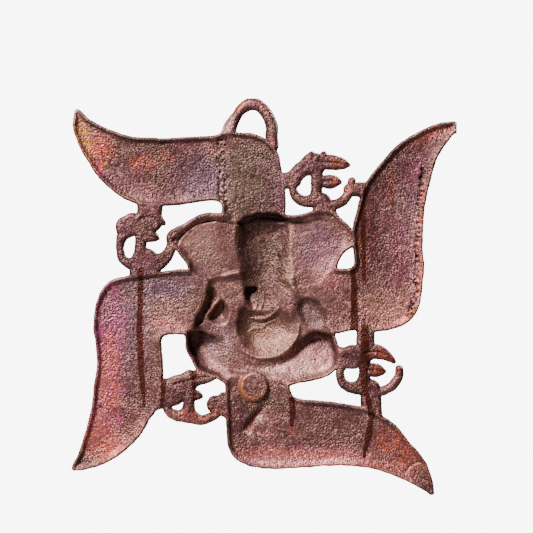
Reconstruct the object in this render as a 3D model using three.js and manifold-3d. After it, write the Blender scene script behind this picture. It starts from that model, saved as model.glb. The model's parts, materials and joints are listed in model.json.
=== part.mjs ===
// Cast bronze wall plaque: a seated elephant-headed figure at the hub of four hooked, flame-like
// arms, with a leafy openwork scroll in each gap between the arms and a hanging loop on top.
// It is one hollow-backed sand casting, so it is one solid: the front stands out as relief, and
// the open back follows it as a hollow, with a wall of nearly even thickness between them.
//
// Millimetres. The plaque is drawn as it is seen from behind, into the open hollow: x to the
// right, y up, z towards the viewer, with the hub of the arms at x = y = 0 and the rims in the
// plane z = 0. The last lines stand it up, +Z up and the figure facing -Y, with the hook's seat
// in the loop at the origin.

import * as THREE from "three";
import { mergeVertices } from "three/addons/utils/BufferGeometryUtils.js";
import Module from "manifold-3d";

const wasm = await Module();
wasm.setup();

const { lerp, clamp, smoothstep, degToRad } = THREE.MathUtils;

// Driving dimensions of the casting
const WALL = 2.8; // metal between the hollow and the relief
const EDGE = 2.2; // thickness of the free edges
const RIM = 0.8; // flat land round the back, which meets the wall
const TRAY = 2.6; // depth of the arms' dish behind the rims
const SLOPE = 3.2; // run from the land down to the dish's floor
const BLEND = 1.4; // fillet where two forms of the hollow meet
const POINT_WIDTH = 1.4; // blunt end of an arm's point

// Meshing
const ROWS_PER_SPAN = 2; // rows of an arm between two of its stations
const FIGURE_STEP = 3.15; // grid of the figure's relief
const BAR_SIDES = 10; // sides of the loop's bar

// The arms, each as if its stem rose from the hub and its blade swept left. `foot` is where the
// stem starts. `back` is the outer edge, over the shoulder, and `belly` the inner edge, round
// the armpit. A row of the arm joins each pair of their stations, so they have as many, and both
// run on to the point. No two arms of the casting are quite alike.
const ARMS = [
  {
    name: "top",
    turn: 0,
    foot: 42.4,
    back: [[13.8, 50], [12.6, 62], [8.8, 76.2], [0.6, 82.5], [-11, 83.8], [-29, 81.9], [-47, 81.2],
      [-62, 81.7], [-75, 85.4], [-84.6, 90.9]],
    belly: [[-18.2, 45], [-18.2, 47.6], [-19.4, 49.3], [-22, 49.9], [-26, 49.8], [-36, 48.3], [-49, 47.2],
      [-61, 48.3], [-77, 58.4], [-91.4, 81.6]],
    point: [-91.8, 95.2],
  },
  {
    name: "left",
    turn: 90,
    foot: 35.8,
    back: [[14.7, 47], [13.2, 60], [9.2, 74], [1, 80.8], [-11, 82.7], [-29, 81], [-46, 82.6], [-60, 84.8],
      [-73, 88.8], [-80.6, 91.9]],
    belly: [[-17, 40], [-17.2, 45.5], [-18.2, 48.4], [-21, 48.8], [-26, 48.1], [-36, 48], [-49, 50],
      [-60, 54.4], [-71, 62.4], [-81.8, 76.6]],
    point: [-85.2, 93.8],
  },
  {
    name: "bottom",
    turn: 180,
    foot: 41.5,
    back: [[16.2, 50], [15.6, 64], [13.6, 77.6], [4.4, 83.6], [-9, 84.8], [-28, 83.7], [-46, 83.1],
      [-61, 85.6], [-75, 91], [-82.6, 95.2]],
    belly: [[-15.8, 44], [-16, 47.2], [-17.6, 49.4], [-21, 49.9], [-26, 50], [-36, 50.8], [-49, 53.5],
      [-61.2, 57.2], [-73.8, 67.6], [-85.7, 84]],
    point: [-88, 98],
  },
  {
    name: "right",
    turn: -90,
    foot: 38.4,
    back: [[15.4, 47], [15.2, 60], [12.4, 74], [2, 81], [-9, 82.9], [-28, 82.8], [-46, 83.6],
      [-61, 86.8], [-73.4, 91.4], [-82.6, 98.2]],
    belly: [[-15.4, 42], [-15.8, 46.6], [-17.6, 48.3], [-21, 48], [-26, 47.5], [-36, 47.5], [-48, 49.8],
      [-59.5, 54.6], [-71.8, 63.4], [-85.2, 80.4]],
    point: [-88, 99.8],
  },
];

// The figure's outline: ears, flanks and knees. Where an arm's stem meets it, it runs on inside.
const FIGURE_OUTLINE = [
  [-18, 43.4], [-25.5, 43.8], [-31.5, 41.5], [-37.5, 37.8], [-44.4, 34.2], [-44.8, 30], [-38.8, 22.4],
  [-35, 15], [-37.5, 8], [-38, -8], [-36.4, -17], [-36.2, -25], [-33, -30.6], [-30.4, -35.4],
  [-22, -38.8], [-16, -42], [-6, -44], [8, -44], [16, -42.6], [26, -40.6], [34.5, -38.2], [39.4, -34.5],
  [41.2, -28], [39.4, -20.5], [38, -14], [40.5, -4], [40.5, 10], [39.6, 16.6], [43, 23.4], [47.8, 27.4],
  [48.8, 31], [46.8, 36], [41.5, 40.9], [37, 44.6], [28, 44.6], [20.5, 42.6], [14, 42.6], [4, 45],
  [-8, 45],
];

// The hollows of the figure, which stand out as its relief in front. Each is a bowl inside a
// smooth border through the points of `outline`: `depth` is behind the rims, `edge` the run from
// the border to the floor, and `tilt` how much deeper the floor gets for each millimetre to the
// right and up. A soft one starts level at its border, where the others break sharply.
const FORMS = [
  {
    name: "left ear",
    outline: [[-10.5, 38], [-18, 40.8], [-26, 41], [-33, 37.6], [-39, 32.6], [-40, 28], [-36, 20], [-32, 12],
      [-24, 9], [-11, 13]],
    depth: 4.2,
    edge: 2.4,
    soft: true,
    tilt: [0.05, 0.07],
  },
  {
    name: "right ear",
    outline: [[15.5, 40.4], [24, 41.4], [31, 42.6], [38, 41], [43, 37], [45, 31], [42, 24], [38, 16], [31, 7],
      [20, 6], [16, 13]],
    depth: 3.7,
    edge: 3,
    soft: true,
    tilt: [-0.06, 0.05],
  },
  {
    name: "torso",
    outline: [[-26.5, 12], [-12.5, 15.5], [14, 14], [22, 7], [29, 1], [37, -10], [40, -18], [43, -27],
      [37, -39], [16, -44], [0, -47], [-16, -44], [-32, -35.5], [-38, -27], [-38, -18], [-33.5, -10],
      [-30, -2]],
    depth: 5.3,
    edge: 6,
    soft: true,
    tilt: [-0.03, 0],
  },
  {
    name: "head and trunk",
    outline: [[-10.5, 37.5], [-7, 41.5], [-1, 44], [6, 44], [12, 42], [16, 38.5], [16.6, 30], [15.6, 20],
      [13.5, 10], [11.5, 2], [10, -4], [6, -8.6], [0, -10.2], [-4, -9], [-7.5, -4], [-9, 4], [-10.2, 15],
      [-10.6, 28]],
    depth: 9.8,
    edge: 6,
    tilt: [-0.2, 0.06],
  },
  {
    name: "belly",
    outline: [[-10, -3], [-12.6, -9], [-13, -15], [-11.2, -21], [-7.4, -26.2], [0, -29.6], [8, -29],
      [14, -25.6], [19, -19.6], [20.4, -13.5], [19, -8], [13, -3], [3, -1]],
    depth: 9.8,
    edge: 6.5,
    tilt: [-0.08, 0],
  },
  {
    name: "curled tip of the trunk",
    outline: [[-8, 3.5], [-5, 7], [0, 7.2], [1.8, 3.5], [1.4, -1.5], [-0.4, -5.8], [-3.5, -8], [-6.3, -5],
      [-7.8, -0.5]],
    depth: 11.6,
    edge: 3.4,
    tilt: [-0.2, 0.34],
  },
  {
    name: "left forearm",
    outline: [[-25, 9], [-20.5, 8], [-19, 1], [-24, -6], [-25.5, -12.5], [-31.4, -13.5], [-30.8, -9],
      [-28, -2]],
    depth: 6.9,
    edge: 2.6,
    tilt: [-0.03, -0.03],
  },
  {
    name: "left hand",
    outline: [[-26, -11.8], [-25.5, -7], [-21, -2], [-17.5, 0.5], [-15.4, -3], [-14.4, -9], [-15.6, -13.8],
      [-21, -13.4]],
    depth: 9.2,
    edge: 4,
    tilt: [-0.3, 0.28],
  },
  {
    name: "left knee",
    outline: [[-37, -18], [-31.8, -13.6], [-22, -14.6], [-14, -16.8], [-12, -24], [-10.4, -31], [-12, -38],
      [-18, -42], [-28, -39], [-34, -33], [-37.4, -26]],
    depth: 9.6,
    edge: 8,
    tilt: [-0.2, 0.2],
  },
  {
    name: "right hand",
    outline: [[19.2, -8], [19.4, -2.5], [22.5, 1.2], [28.5, 1.8], [34.5, -0.6], [37, -7], [34.5, -13.5],
      [28.4, -15.8], [22, -14.4]],
    depth: 7.4,
    edge: 4.4,
    tilt: [-0.22, 0.2],
  },
  {
    name: "right shin and knee",
    outline: [[-9, -29.2], [-2, -29.4], [8, -28.4], [14, -25.4], [19.6, -19.6], [25.6, -15.8], [32, -14.8],
      [37.4, -17], [41, -24], [42, -31], [38, -37], [30, -41], [20, -43.4], [6, -44], [-6, -40]],
    depth: 8.4,
    edge: 6,
    tilt: [0, 0.24],
  },
];

// The openwork is one leafy scroll set upright in all four gaps, drawn about its eye. A stroke
// is a list of stations x, y and half-width.
const SCROLL_BACK = -0.5; // its back face
const SCROLL_THICK = 3.4;
const SCROLL = {
  stalk: [[6.8, 12.4, 3.2], [7, 4, 2.8], [6.8, -2, 2.8], [6.2, -7.4, 3.6]],
  crown: [[0, 8, 3.8], [7, 9.4, 4.2]],
  eye: [[-1.6, 7.4, 3.2], [-5.2, 1.6, 2.1], [-4, -5, 2.1], [1.2, -7.6, 2.8], [6, -6.8, 3.4]],
  tendril: [[6.6, -7, 3.2], [13, -9.7, 2.3], [20, -7.4, 2.2], [24, -1.8, 2.1], [24.5, 2.2, 1.8]],
};

// Where each scroll's eye stands and its size across and up. Its leaf, its bud and any shoots
// differ, and so do the runners, with ends cut square on the rims, that tie it to the casting.
const SCROLLS = [
  {
    name: "top left",
    eye: [-64.8, 26.6],
    size: [0.86, 1.12],
    leaf: [[-58.8, 41, 3], [-52, 41, 3], [-48.6, 39.6, 2.2]],
    bud: [[-58, 31.8, 2.8], [-52.4, 31.6, 2.7]],
    shoots: [
      [[-66.2, 36.6, 5.3], [-62.4, 38.2, 5.4]],
      [[-53, 19.2, 3], [-47, 22, 2.3], [-43.4, 27, 2.3], [-43.6, 31, 2.3]],
    ],
    runners: [
      [[-54.3, 40, 6.8], [-54.3, 48.2, 6]],
      [[-56.8, 19, 7], [-56.6, 12.9, 7.9]],
    ],
  },
  {
    name: "top right",
    eye: [22.6, 57.4],
    size: [1, 1.04],
    leaf: [[30, 69.4, 3.4], [37, 68.7, 3.6], [42.2, 68.4, 3.4]],
    bud: [[32, 59.4, 3.2], [38.2, 59.4, 3.1]],
    shoots: [
      [[15.8, 60, 3.3], [21.4, 64.8, 3.8]],
      [[25.2, 68.8, 3.8], [26.8, 73, 1.9]],
      [[32, 69, 3.2], [33, 73, 1.8]],
    ],
    runners: [
      [[11.7, 59.4, 4.4], [17.6, 60, 3.8]],
      [[45.8, 55.4, 2.8], [53.8, 54.9, 4.4]],
      [[32, 49.4, 4.2], [33.6, 43.4, 6.4]],
    ],
  },
  {
    name: "bottom left",
    eye: [-41.2, -50.6],
    size: [0.96, 1],
    leaf: [[-42, -42.2, 4], [-32, -39.6, 3.6], [-25, -38.4, 3.8]],
    bud: [[-33.5, -47.4, 2.8], [-30.8, -47.6, 2.6]],
    shoots: [],
    runners: [
      [[-50.8, -48.2, 8.2], [-43, -46.2, 7]],
      [[-21, -52.6, 4.6], [-15, -53.4, 7]],
    ],
  },
  {
    name: "bottom right",
    eye: [46.4, -36.8],
    size: [1, 0.98],
    leaf: [[53.4, -26.4, 3], [61.4, -26.3, 3.1], [66.2, -28.4, 2.1]],
    bud: [[54.4, -35, 3], [61.2, -35.5, 2.7]],
    shoots: [[[47.2, -27.6, 4.8], [52, -27.8, 4.4]]],
    runners: [
      [[53.8, -26, 4.8], [54, -14.8, 4.6]],
      [[40.4, -29, 5], [48, -29.4, 5.2]],
      [[56.6, -45, 5], [57, -56.6, 5.4]],
    ],
  },
];

// The hanging loop: stations x, y and radius down the middle of its round bar, and the small
// flat at its inner top that a hook wears, which is the plaque's origin.
const LOOP_DEPTH = -3; // the bar's middle, behind the rims
const LOOP = [
  [-14.6, 83.2, 3], [-13, 88.2, 2.8], [-10, 93.6, 2.4], [-6.4, 97.2, 2.8], [-2.8, 98.4, 3],
  [1.2, 97, 2.9], [4.8, 92.6, 2.7], [7, 87, 2.8], [6.9, 82, 3], [8.2, 77.2, 2.2],
];
const SEAT = { at: [-2.8, 95.8], width: 3.2, across: 3, lift: 1.2 };

// The stub of the casting gate, low on the back: a leaning boss, sawn off level with the rims
const STUB = {
  foot: [-2.6, -43.7],
  footRadius: 7.7,
  top: [-1.6, -41.9],
  topRadius: 5.7,
  from: -5,
  sides: 20,
};

function turned([x, y], degrees) {
  const p = new THREE.Vector2(x, y).rotateAround(new THREE.Vector2(), degToRad(degrees));
  return [p.x, p.y];
}

// A closed geometry as a solid for joining and cutting, with its faces turned outwards.
function solidOf(geometry) {
  const bare = new THREE.BufferGeometry().setAttribute("position", geometry.getAttribute("position"));
  if (geometry.index) bare.setIndex(geometry.index);
  const merged = mergeVertices(bare, 1e-4);
  const vertProperties = merged.attributes.position.array;
  const triVerts = Uint32Array.from(merged.index.array);
  const solid = new wasm.Manifold(new wasm.Mesh({ numProp: 3, vertProperties, triVerts }));
  if (solid.volume() > 0) return solid;
  return new wasm.Manifold(new wasm.Mesh({ numProp: 3, vertProperties, triVerts: triVerts.reverse() }));
}

function geometryOf(solid) {
  const { vertProperties, triVerts } = solid.getMesh();
  return new THREE.BufferGeometry()
    .setAttribute("position", new THREE.BufferAttribute(vertProperties, 3))
    .setIndex(new THREE.BufferAttribute(triVerts, 1));
}

const joined = (solids) => solids.reduce((a, b) => a.add(b));

// A straight prism over a flat outline, between two heights.
function prism(points, from, to) {
  const shape = new THREE.Shape(points.map(([x, y]) => new THREE.Vector2(x, y)));
  const geometry = new THREE.ExtrudeGeometry(shape, { depth: to - from, bevelEnabled: false });
  return solidOf(geometry.translate(0, 0, from));
}

// A closed shell between two height fields over a grid of stations. node(i, j) gives the place
// x, y and the heights `back` and `front` there.
function shell(rows, columns, node) {
  const positions = [];
  const index = [];
  for (const side of ["back", "front"])
    for (let i = 0; i <= rows; i++)
      for (let j = 0; j <= columns; j++) {
        const n = node(i, j);
        positions.push(n.x, n.y, n[side]);
      }
  const at = (side, i, j) => (side * (rows + 1) + i) * (columns + 1) + j;
  const height = (k) => positions[3 * k + 2];
  // Each quad is split along the diagonal that runs more level, which follows the relief.
  const quad = (a, b, c, d) => {
    const level = Math.abs(height(a) - height(c)) <= Math.abs(height(b) - height(d));
    index.push(...(level ? [a, b, c, a, c, d] : [b, c, d, b, d, a]));
  };
  for (let i = 0; i < rows; i++) {
    for (let j = 0; j < columns; j++) {
      quad(at(0, i, j), at(0, i, j + 1), at(0, i + 1, j + 1), at(0, i + 1, j));
      quad(at(1, i, j), at(1, i + 1, j), at(1, i + 1, j + 1), at(1, i, j + 1));
    }
    quad(at(0, i, 0), at(0, i + 1, 0), at(1, i + 1, 0), at(1, i, 0));
    quad(at(0, i + 1, columns), at(0, i, columns), at(1, i, columns), at(1, i + 1, columns));
  }
  for (let j = 0; j < columns; j++) {
    quad(at(0, 0, j + 1), at(0, 0, j), at(1, 0, j), at(1, 0, j + 1));
    quad(at(0, rows, j), at(0, rows, j + 1), at(1, rows, j + 1), at(1, rows, j));
  }
  const geometry = new THREE.BufferGeometry();
  geometry.setAttribute("position", new THREE.Float32BufferAttribute(positions, 3)).setIndex(index);
  return solidOf(geometry);
}

// Profiles. `inward` is the distance in from a free edge.
const quarterRound = (t) => Math.sqrt(1 - (1 - clamp(t, 0, 1)) ** 2);
const landMask = (inward) => smoothstep(inward, RIM, RIM + 2);
const dishDepth = (inward) => TRAY * smoothstep(inward, RIM, RIM + SLOPE);
const crownShare = (inward) => quarterRound(inward / (RIM + SLOPE));
const acrossArm = [0, RIM, RIM + SLOPE];

function softMax(a, b) {
  const near = Math.max(BLEND - Math.abs(a - b), 0) / BLEND;
  return Math.max(a, b) + (near * near * BLEND) / 4;
}

// The two edges of an arm in the drawing, as curves through their stations.
function armEdge(arm, stations) {
  const points = [[stations[0][0], arm.foot], ...stations, arm.point];
  return new THREE.SplineCurve(points.map((p) => new THREE.Vector2(...turned(p, arm.turn))));
}

// An arm: dished behind and crowned in front, with columns at the land's and the slope's ends.
function armSolid(arm) {
  const back = armEdge(arm, arm.back);
  const belly = armEdge(arm, arm.belly);
  const rows = (arm.back.length + 1) * ROWS_PER_SPAN;
  const columns = acrossArm.length * 2;
  const pointDirection = new THREE.Vector2(...turned([1, 0], arm.turn));
  return shell(rows, columns, (i, j) => {
    const outer = back.getPoint(i / rows);
    const inner = belly.getPoint(i / rows);
    const width = Math.max(outer.distanceTo(inner), POINT_WIDTH);
    const direction = i < rows ? outer.clone().sub(inner).normalize() : pointDirection;
    const squeeze = Math.min(1, (0.4 * width) / acrossArm.at(-1));
    const step = Math.min(j, columns - j);
    const inward = step < acrossArm.length ? acrossArm[step] * squeeze : width / 2;
    const aside = Math.sign(j - columns / 2) * (width / 2 - inward);
    const place = outer.clone().lerp(inner, 0.5).addScaledVector(direction, aside);
    return {
      x: place.x,
      y: place.y,
      back: -dishDepth(inward) * smoothstep(squeeze, 0, 1),
      front: -lerp(EDGE, TRAY + WALL, crownShare(inward)) * lerp(0.7, 1, squeeze),
    };
  });
}

// A smooth closed outline through a few points.
function roundedOutline(points, perSpan) {
  const places = points.map(([x, y]) => new THREE.Vector3(x, y, 0));
  const curve = new THREE.CatmullRomCurve3(places, true, "centripetal");
  return curve
    .getPoints(points.length * perSpan)
    .slice(0, -1)
    .map((p) => [p.x, p.y]);
}

// How far a place lies inside a closed outline, less than 0 outside it.
function insideOutline([x, y], outline) {
  let inside = false;
  let nearest = Infinity;
  outline.forEach(([ax, ay], k) => {
    const [bx, by] = outline[(k + 1) % outline.length];
    if (ay > y !== by > y && x < ax + ((y - ay) / (by - ay)) * (bx - ax)) inside = !inside;
    const along = ((x - ax) * (bx - ax) + (y - ay) * (by - ay)) / ((bx - ax) ** 2 + (by - ay) ** 2);
    const t = clamp(along, 0, 1);
    nearest = Math.min(nearest, Math.hypot(x - lerp(ax, bx, t), y - lerp(ay, by, t)));
  });
  return inside ? nearest : -nearest;
}

const figureOutline = roundedOutline(FIGURE_OUTLINE, 2);

const armOutlines = ARMS.map((arm) => {
  const steps = 2 * (arm.back.length + 1);
  const belly = armEdge(arm, arm.belly).getPoints(steps);
  const back = armEdge(arm, arm.back).getPoints(steps);
  return [...belly, ...back.reverse().slice(1), new THREE.Vector2()].map((p) => [p.x, p.y]);
});

const inwardAt = (place) =>
  Math.max(...[figureOutline, ...armOutlines].map((outline) => insideOutline(place, outline)));

// The forms with their borders drawn out, and the middle that their floors tilt about.
const forms = FORMS.map((form) => {
  const border = roundedOutline(form.outline, 3);
  const middle = [0, 1].map((axis) => border.reduce((sum, p) => sum + p[axis], 0) / border.length);
  return { ...form, border, middle };
});

// The deepest form at a place, blended with its neighbours. The front's forms are wider than
// the hollow's by `grow`, so the wall between them keeps its thickness on the slopes too.
function formsAt(place, floor, grow) {
  return forms.reduce((depth, form) => {
    const t = (insideOutline(place, form.border) + grow) / (form.edge + grow);
    const share = form.soft ? smoothstep(t, 0, 1) : quarterRound(t);
    const lean = form.tilt[0] * (place[0] - form.middle[0]) + form.tilt[1] * (place[1] - form.middle[1]);
    return softMax(depth, (form.depth + lean) * share);
  }, floor);
}

function hollowAt(place) {
  const inward = inwardAt(place);
  return landMask(inward) * formsAt(place, dishDepth(inward), 0);
}

function reliefAt(place) {
  return lerp(EDGE, WALL + formsAt(place, TRAY, WALL), crownShare(inwardAt(place)));
}

// The figure: a slab between the hollow and the relief, cut to its outline.
function figureSolid() {
  const box = new THREE.Box2().setFromPoints(figureOutline.map((p) => new THREE.Vector2(...p)));
  box.expandByScalar(1);
  const columns = Math.ceil((box.max.x - box.min.x) / FIGURE_STEP);
  const rows = Math.ceil((box.max.y - box.min.y) / FIGURE_STEP);
  const slab = shell(rows, columns, (i, j) => {
    const place = [box.min.x + j * FIGURE_STEP, box.min.y + i * FIGURE_STEP];
    return { x: place[0], y: place[1], back: -hollowAt(place), front: -reliefAt(place) };
  });
  return slab.intersect(prism(figureOutline, -30, 5));
}

// A stroke of the openwork: a band along a smooth line, as wide as its stations say, with
// rounded ends or, on a runner, square ones.
function strokeSolid(stations, squareEnds) {
  const line = new THREE.SplineCurve(stations.map(([x, y]) => new THREE.Vector2(x, y)));
  const girth = new THREE.SplineCurve(stations.map(([, , r], k) => new THREE.Vector2(k, r)));
  const steps = stations.length > 2 ? (stations.length - 1) * 2 : 1;
  const beside = (t, angle) => {
    const p = line.getPoint(t);
    const along = line.getTangent(t);
    return p.add(along.rotateAround(new THREE.Vector2(), angle).multiplyScalar(girth.getPoint(t).y));
  };
  const ticks = Array.from({ length: steps + 1 }, (_, k) => k / steps);
  const left = ticks.map((t) => beside(t, Math.PI / 2));
  const right = ticks.map((t) => beside(t, -Math.PI / 2)).reverse();
  const cap = (t, from) => [1, 2, 3].map((k) => beside(t, from - (k * Math.PI) / 4));
  const [endCap, startCap] = squareEnds ? [[], []] : [cap(1, Math.PI / 2), cap(0, -Math.PI / 2)];
  const outline = [...left, ...endCap, ...right, ...startCap].map((p) => [p.x, p.y]);
  return prism(outline, SCROLL_BACK - SCROLL_THICK, SCROLL_BACK);
}

function scrollSolid({ eye, size, leaf, bud, shoots, runners }) {
  const placed = ([x, y, r]) => [eye[0] + x * size[0], eye[1] + y * size[1], r];
  const strokes = [...Object.values(SCROLL).map((stroke) => stroke.map(placed)), leaf, bud, ...shoots];
  return joined([
    ...strokes.map((stroke) => strokeSolid(stroke, false)),
    ...runners.map((runner) => strokeSolid(runner, true)),
  ]);
}

// The hanging loop: a round bar swept along its line, with the hook's seat cut flat.
function loopSolid() {
  const line = new THREE.SplineCurve(LOOP.map(([x, y]) => new THREE.Vector2(x, y)));
  const girth = new THREE.SplineCurve(LOOP.map(([, , r], k) => new THREE.Vector2(k, r)));
  const rows = (LOOP.length - 1) * 2;
  const positions = [];
  const index = [];
  for (let i = 0; i <= rows; i++) {
    const p = line.getPoint(i / rows);
    const along = line.getTangent(i / rows);
    const radius = girth.getPoint(i / rows).y;
    for (let j = 0; j < BAR_SIDES; j++) {
      const angle = ((j + 0.5) / BAR_SIDES) * 2 * Math.PI;
      const out = radius * Math.cos(angle);
      positions.push(p.x - along.y * out, p.y + along.x * out, LOOP_DEPTH + radius * Math.sin(angle));
    }
  }
  const at = (i, j) => i * BAR_SIDES + (j % BAR_SIDES);
  for (let i = 0; i < rows; i++)
    for (let j = 0; j < BAR_SIDES; j++) {
      index.push(at(i, j), at(i, j + 1), at(i + 1, j + 1));
      index.push(at(i, j), at(i + 1, j + 1), at(i + 1, j));
    }
  for (let j = 1; j < BAR_SIDES - 1; j++) {
    index.push(at(0, 0), at(0, j + 1), at(0, j));
    index.push(at(rows, 0), at(rows, j), at(rows, j + 1));
  }
  const geometry = new THREE.BufferGeometry();
  geometry.setAttribute("position", new THREE.Float32BufferAttribute(positions, 3)).setIndex(index);
  const seat = new THREE.BoxGeometry(SEAT.width, SEAT.lift, SEAT.across);
  seat.translate(SEAT.at[0], SEAT.at[1] - SEAT.lift / 2, LOOP_DEPTH);
  return solidOf(geometry).subtract(solidOf(seat));
}

// The stub: a tapered cylinder sheared over to one side.
function stubSolid() {
  const height = -STUB.from;
  const geometry = new THREE.CylinderGeometry(STUB.topRadius, STUB.footRadius, height, STUB.sides);
  geometry.rotateX(Math.PI / 2).translate(0, 0, height / 2);
  const [leanX, leanY] = [0, 1].map((axis) => (STUB.top[axis] - STUB.foot[axis]) / height);
  const sheared = new THREE.Matrix4().makeShear(0, 0, 0, 0, leanX, leanY);
  geometry.applyMatrix4(sheared).translate(STUB.foot[0], STUB.foot[1], STUB.from);
  return solidOf(geometry);
}

const casting = joined([
  figureSolid(),
  ...ARMS.map(armSolid),
  ...SCROLLS.map(scrollSolid),
  loopSolid(),
  stubSolid(),
]);

const bronze = new THREE.MeshStandardMaterial({ color: 0x8a5a4c, roughness: 0.6, metalness: 0.8 });
const plaque = new THREE.Mesh(geometryOf(casting), bronze);
plaque.name = "plaque";
plaque.position.set(-SEAT.at[0], -SEAT.at[1], -LOOP_DEPTH);

// Stand it up: the drawing's right becomes -X, its up +Z, and its viewer stands at +Y.
const part = new THREE.Group();
const axes = [[-1, 0, 0], [0, 0, 1], [0, 1, 0]].map((axis) => new THREE.Vector3(...axis));
part.applyMatrix4(new THREE.Matrix4().makeBasis(...axes));
part.add(plaque);

export default part;
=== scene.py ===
"""Looks of the cast bronze wall plaque: its fine relief, its patina, its light and its camera.

The casting is drawn as its solid is, in millimetres and as it is seen from behind: u to the
right, v up and w towards the viewer, with the hub of the arms at u = v = 0 and the rims at w = 0.
"""

import json
import logging
import math
from dataclasses import dataclass, field
from enum import Enum

import bpy
import numpy as np
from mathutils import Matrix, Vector
from mathutils.geometry import delaunay_2d_cdt

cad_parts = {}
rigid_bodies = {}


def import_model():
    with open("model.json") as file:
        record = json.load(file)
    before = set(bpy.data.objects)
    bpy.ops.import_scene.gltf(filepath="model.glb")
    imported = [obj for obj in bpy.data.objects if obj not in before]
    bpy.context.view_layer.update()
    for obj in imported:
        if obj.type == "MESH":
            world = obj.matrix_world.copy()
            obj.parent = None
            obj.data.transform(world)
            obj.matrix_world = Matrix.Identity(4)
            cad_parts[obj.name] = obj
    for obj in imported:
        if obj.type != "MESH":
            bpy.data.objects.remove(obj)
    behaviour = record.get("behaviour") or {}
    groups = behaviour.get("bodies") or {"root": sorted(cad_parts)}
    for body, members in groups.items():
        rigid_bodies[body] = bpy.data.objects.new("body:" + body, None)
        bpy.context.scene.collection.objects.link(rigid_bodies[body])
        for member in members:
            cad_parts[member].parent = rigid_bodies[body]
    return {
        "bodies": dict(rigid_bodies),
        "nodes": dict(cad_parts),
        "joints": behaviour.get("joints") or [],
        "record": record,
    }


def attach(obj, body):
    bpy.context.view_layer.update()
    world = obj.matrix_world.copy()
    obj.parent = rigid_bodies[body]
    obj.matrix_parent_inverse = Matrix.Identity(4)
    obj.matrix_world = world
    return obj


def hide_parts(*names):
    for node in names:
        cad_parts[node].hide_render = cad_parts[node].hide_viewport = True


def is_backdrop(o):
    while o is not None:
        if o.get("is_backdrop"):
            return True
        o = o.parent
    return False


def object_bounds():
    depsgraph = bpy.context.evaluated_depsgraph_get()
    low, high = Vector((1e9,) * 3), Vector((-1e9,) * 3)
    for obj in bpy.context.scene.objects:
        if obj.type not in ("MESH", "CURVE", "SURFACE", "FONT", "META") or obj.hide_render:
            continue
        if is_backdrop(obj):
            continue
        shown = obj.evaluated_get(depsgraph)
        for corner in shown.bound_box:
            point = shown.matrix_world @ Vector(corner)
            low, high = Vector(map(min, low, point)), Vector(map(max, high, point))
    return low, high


log = logging.getLogger("plaque")

Point = tuple[float, float]
Station = tuple[float, float, float]
Array = np.ndarray

SEAT = (-2.8, 95.8, -3.0)  # the hook's seat in the drawing, which is the frame's origin
MILLIMETRE = 0.001
PER_METRE = 1000.0  # millimetres
PHOTO_SIDE = 533  # pixels across the square picture
PIXEL = 0.5 * MILLIMETRE  # size of one of them at the plaque
STROKE_REACH = 8.0  # distance from a stroke that its border is worked out to
SHORTEST_SQUARED = 1e-12  # keeps a line of no length from dividing by 0


# Profiles and lines


def smooth(t: Array) -> Array:
    """An S from 0 to 1."""
    t = np.clip(t, 0.0, 1.0)
    return t * t * (3.0 - 2.0 * t)


def quarter_round(t: Array) -> Array:
    """A quarter of a circle from 0, where it stands upright, to 1, where it is level."""
    return np.sqrt(1.0 - (1.0 - np.clip(t, 0.0, 1.0)) ** 2)


def soft_max(a: Array, b: Array, fillet: float) -> Array:
    """The greater of two fields, with a fillet where they come as near as that to each other."""
    near = np.maximum(fillet - np.abs(a - b), 0.0) / fillet
    return np.maximum(a, b) + near * near * fillet / 4.0


def open_curve(stations: list, per_span: int = 4) -> Array:
    """A smooth line through stations of any number of values.

    Args:
        stations: Rows of a place and whatever goes with it, such as a half-width.
        per_span: Points from one station to the next.

    Returns:
        The rows of the line.
    """
    rows = np.array(stations, float)
    padded = np.vstack([2 * rows[0] - rows[1], rows, 2 * rows[-1] - rows[-2]])
    line = []
    for p0, p1, p2, p3 in zip(padded, padded[1:], padded[2:], padded[3:]):
        for t in np.arange(per_span) / per_span:
            cubic = -p0 + 3 * p1 - 3 * p2 + p3
            square = 2 * p0 - 5 * p1 + 4 * p2 - p3
            line.append(0.5 * (2 * p1 + (p2 - p0) * t + square * t**2 + cubic * t**3))
    return np.array(line + [rows[-1]])


def closed_curve(points: list[Point], per_span: int = 4) -> Array:
    """A smooth closed outline that keeps close to its points.

    Args:
        points: The points that it passes through, in order.
        per_span: Points from one to the next.

    Returns:
        The outline as rows of u and v.
    """
    places = np.array(points, float)
    outline = []
    for i in range(len(places)):
        p0, p1, p2, p3 = (places[(i + k) % len(places)] for k in (-1, 0, 1, 2))
        t1 = math.dist(p0, p1) ** 0.5
        t2 = t1 + math.dist(p1, p2) ** 0.5
        t3 = t2 + math.dist(p2, p3) ** 0.5
        for k in range(per_span):
            t = t1 + (t2 - t1) * k / per_span
            a1 = ((t1 - t) * p0 + t * p1) / t1
            a2 = ((t2 - t) * p1 + (t - t1) * p2) / (t2 - t1)
            a3 = ((t3 - t) * p2 + (t - t2) * p3) / (t3 - t2)
            b1 = ((t2 - t) * a1 + t * a2) / t2
            b2 = ((t3 - t) * a2 + (t - t1) * a3) / (t3 - t1)
            outline.append(((t2 - t) * b1 + (t - t1) * b2) / (t2 - t1))
    return np.array(outline)


def respaced(line: Array, spacing: float) -> Array:
    """A closed line with its points at equal distances.

    Args:
        line: Rows of u and v.
        spacing: About how far apart its points are to be.

    Returns:
        The new rows.
    """
    closed = np.vstack([line, line[:1]])
    lengths = np.r_[0.0, np.cumsum(np.hypot(*np.diff(closed, axis=0).T))]
    count = max(int(round(lengths[-1] / spacing)), 3)
    places = np.linspace(0.0, lengths[-1], count, endpoint=False)
    return np.column_stack([np.interp(places, lengths, closed[:, k]) for k in (0, 1)])


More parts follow.
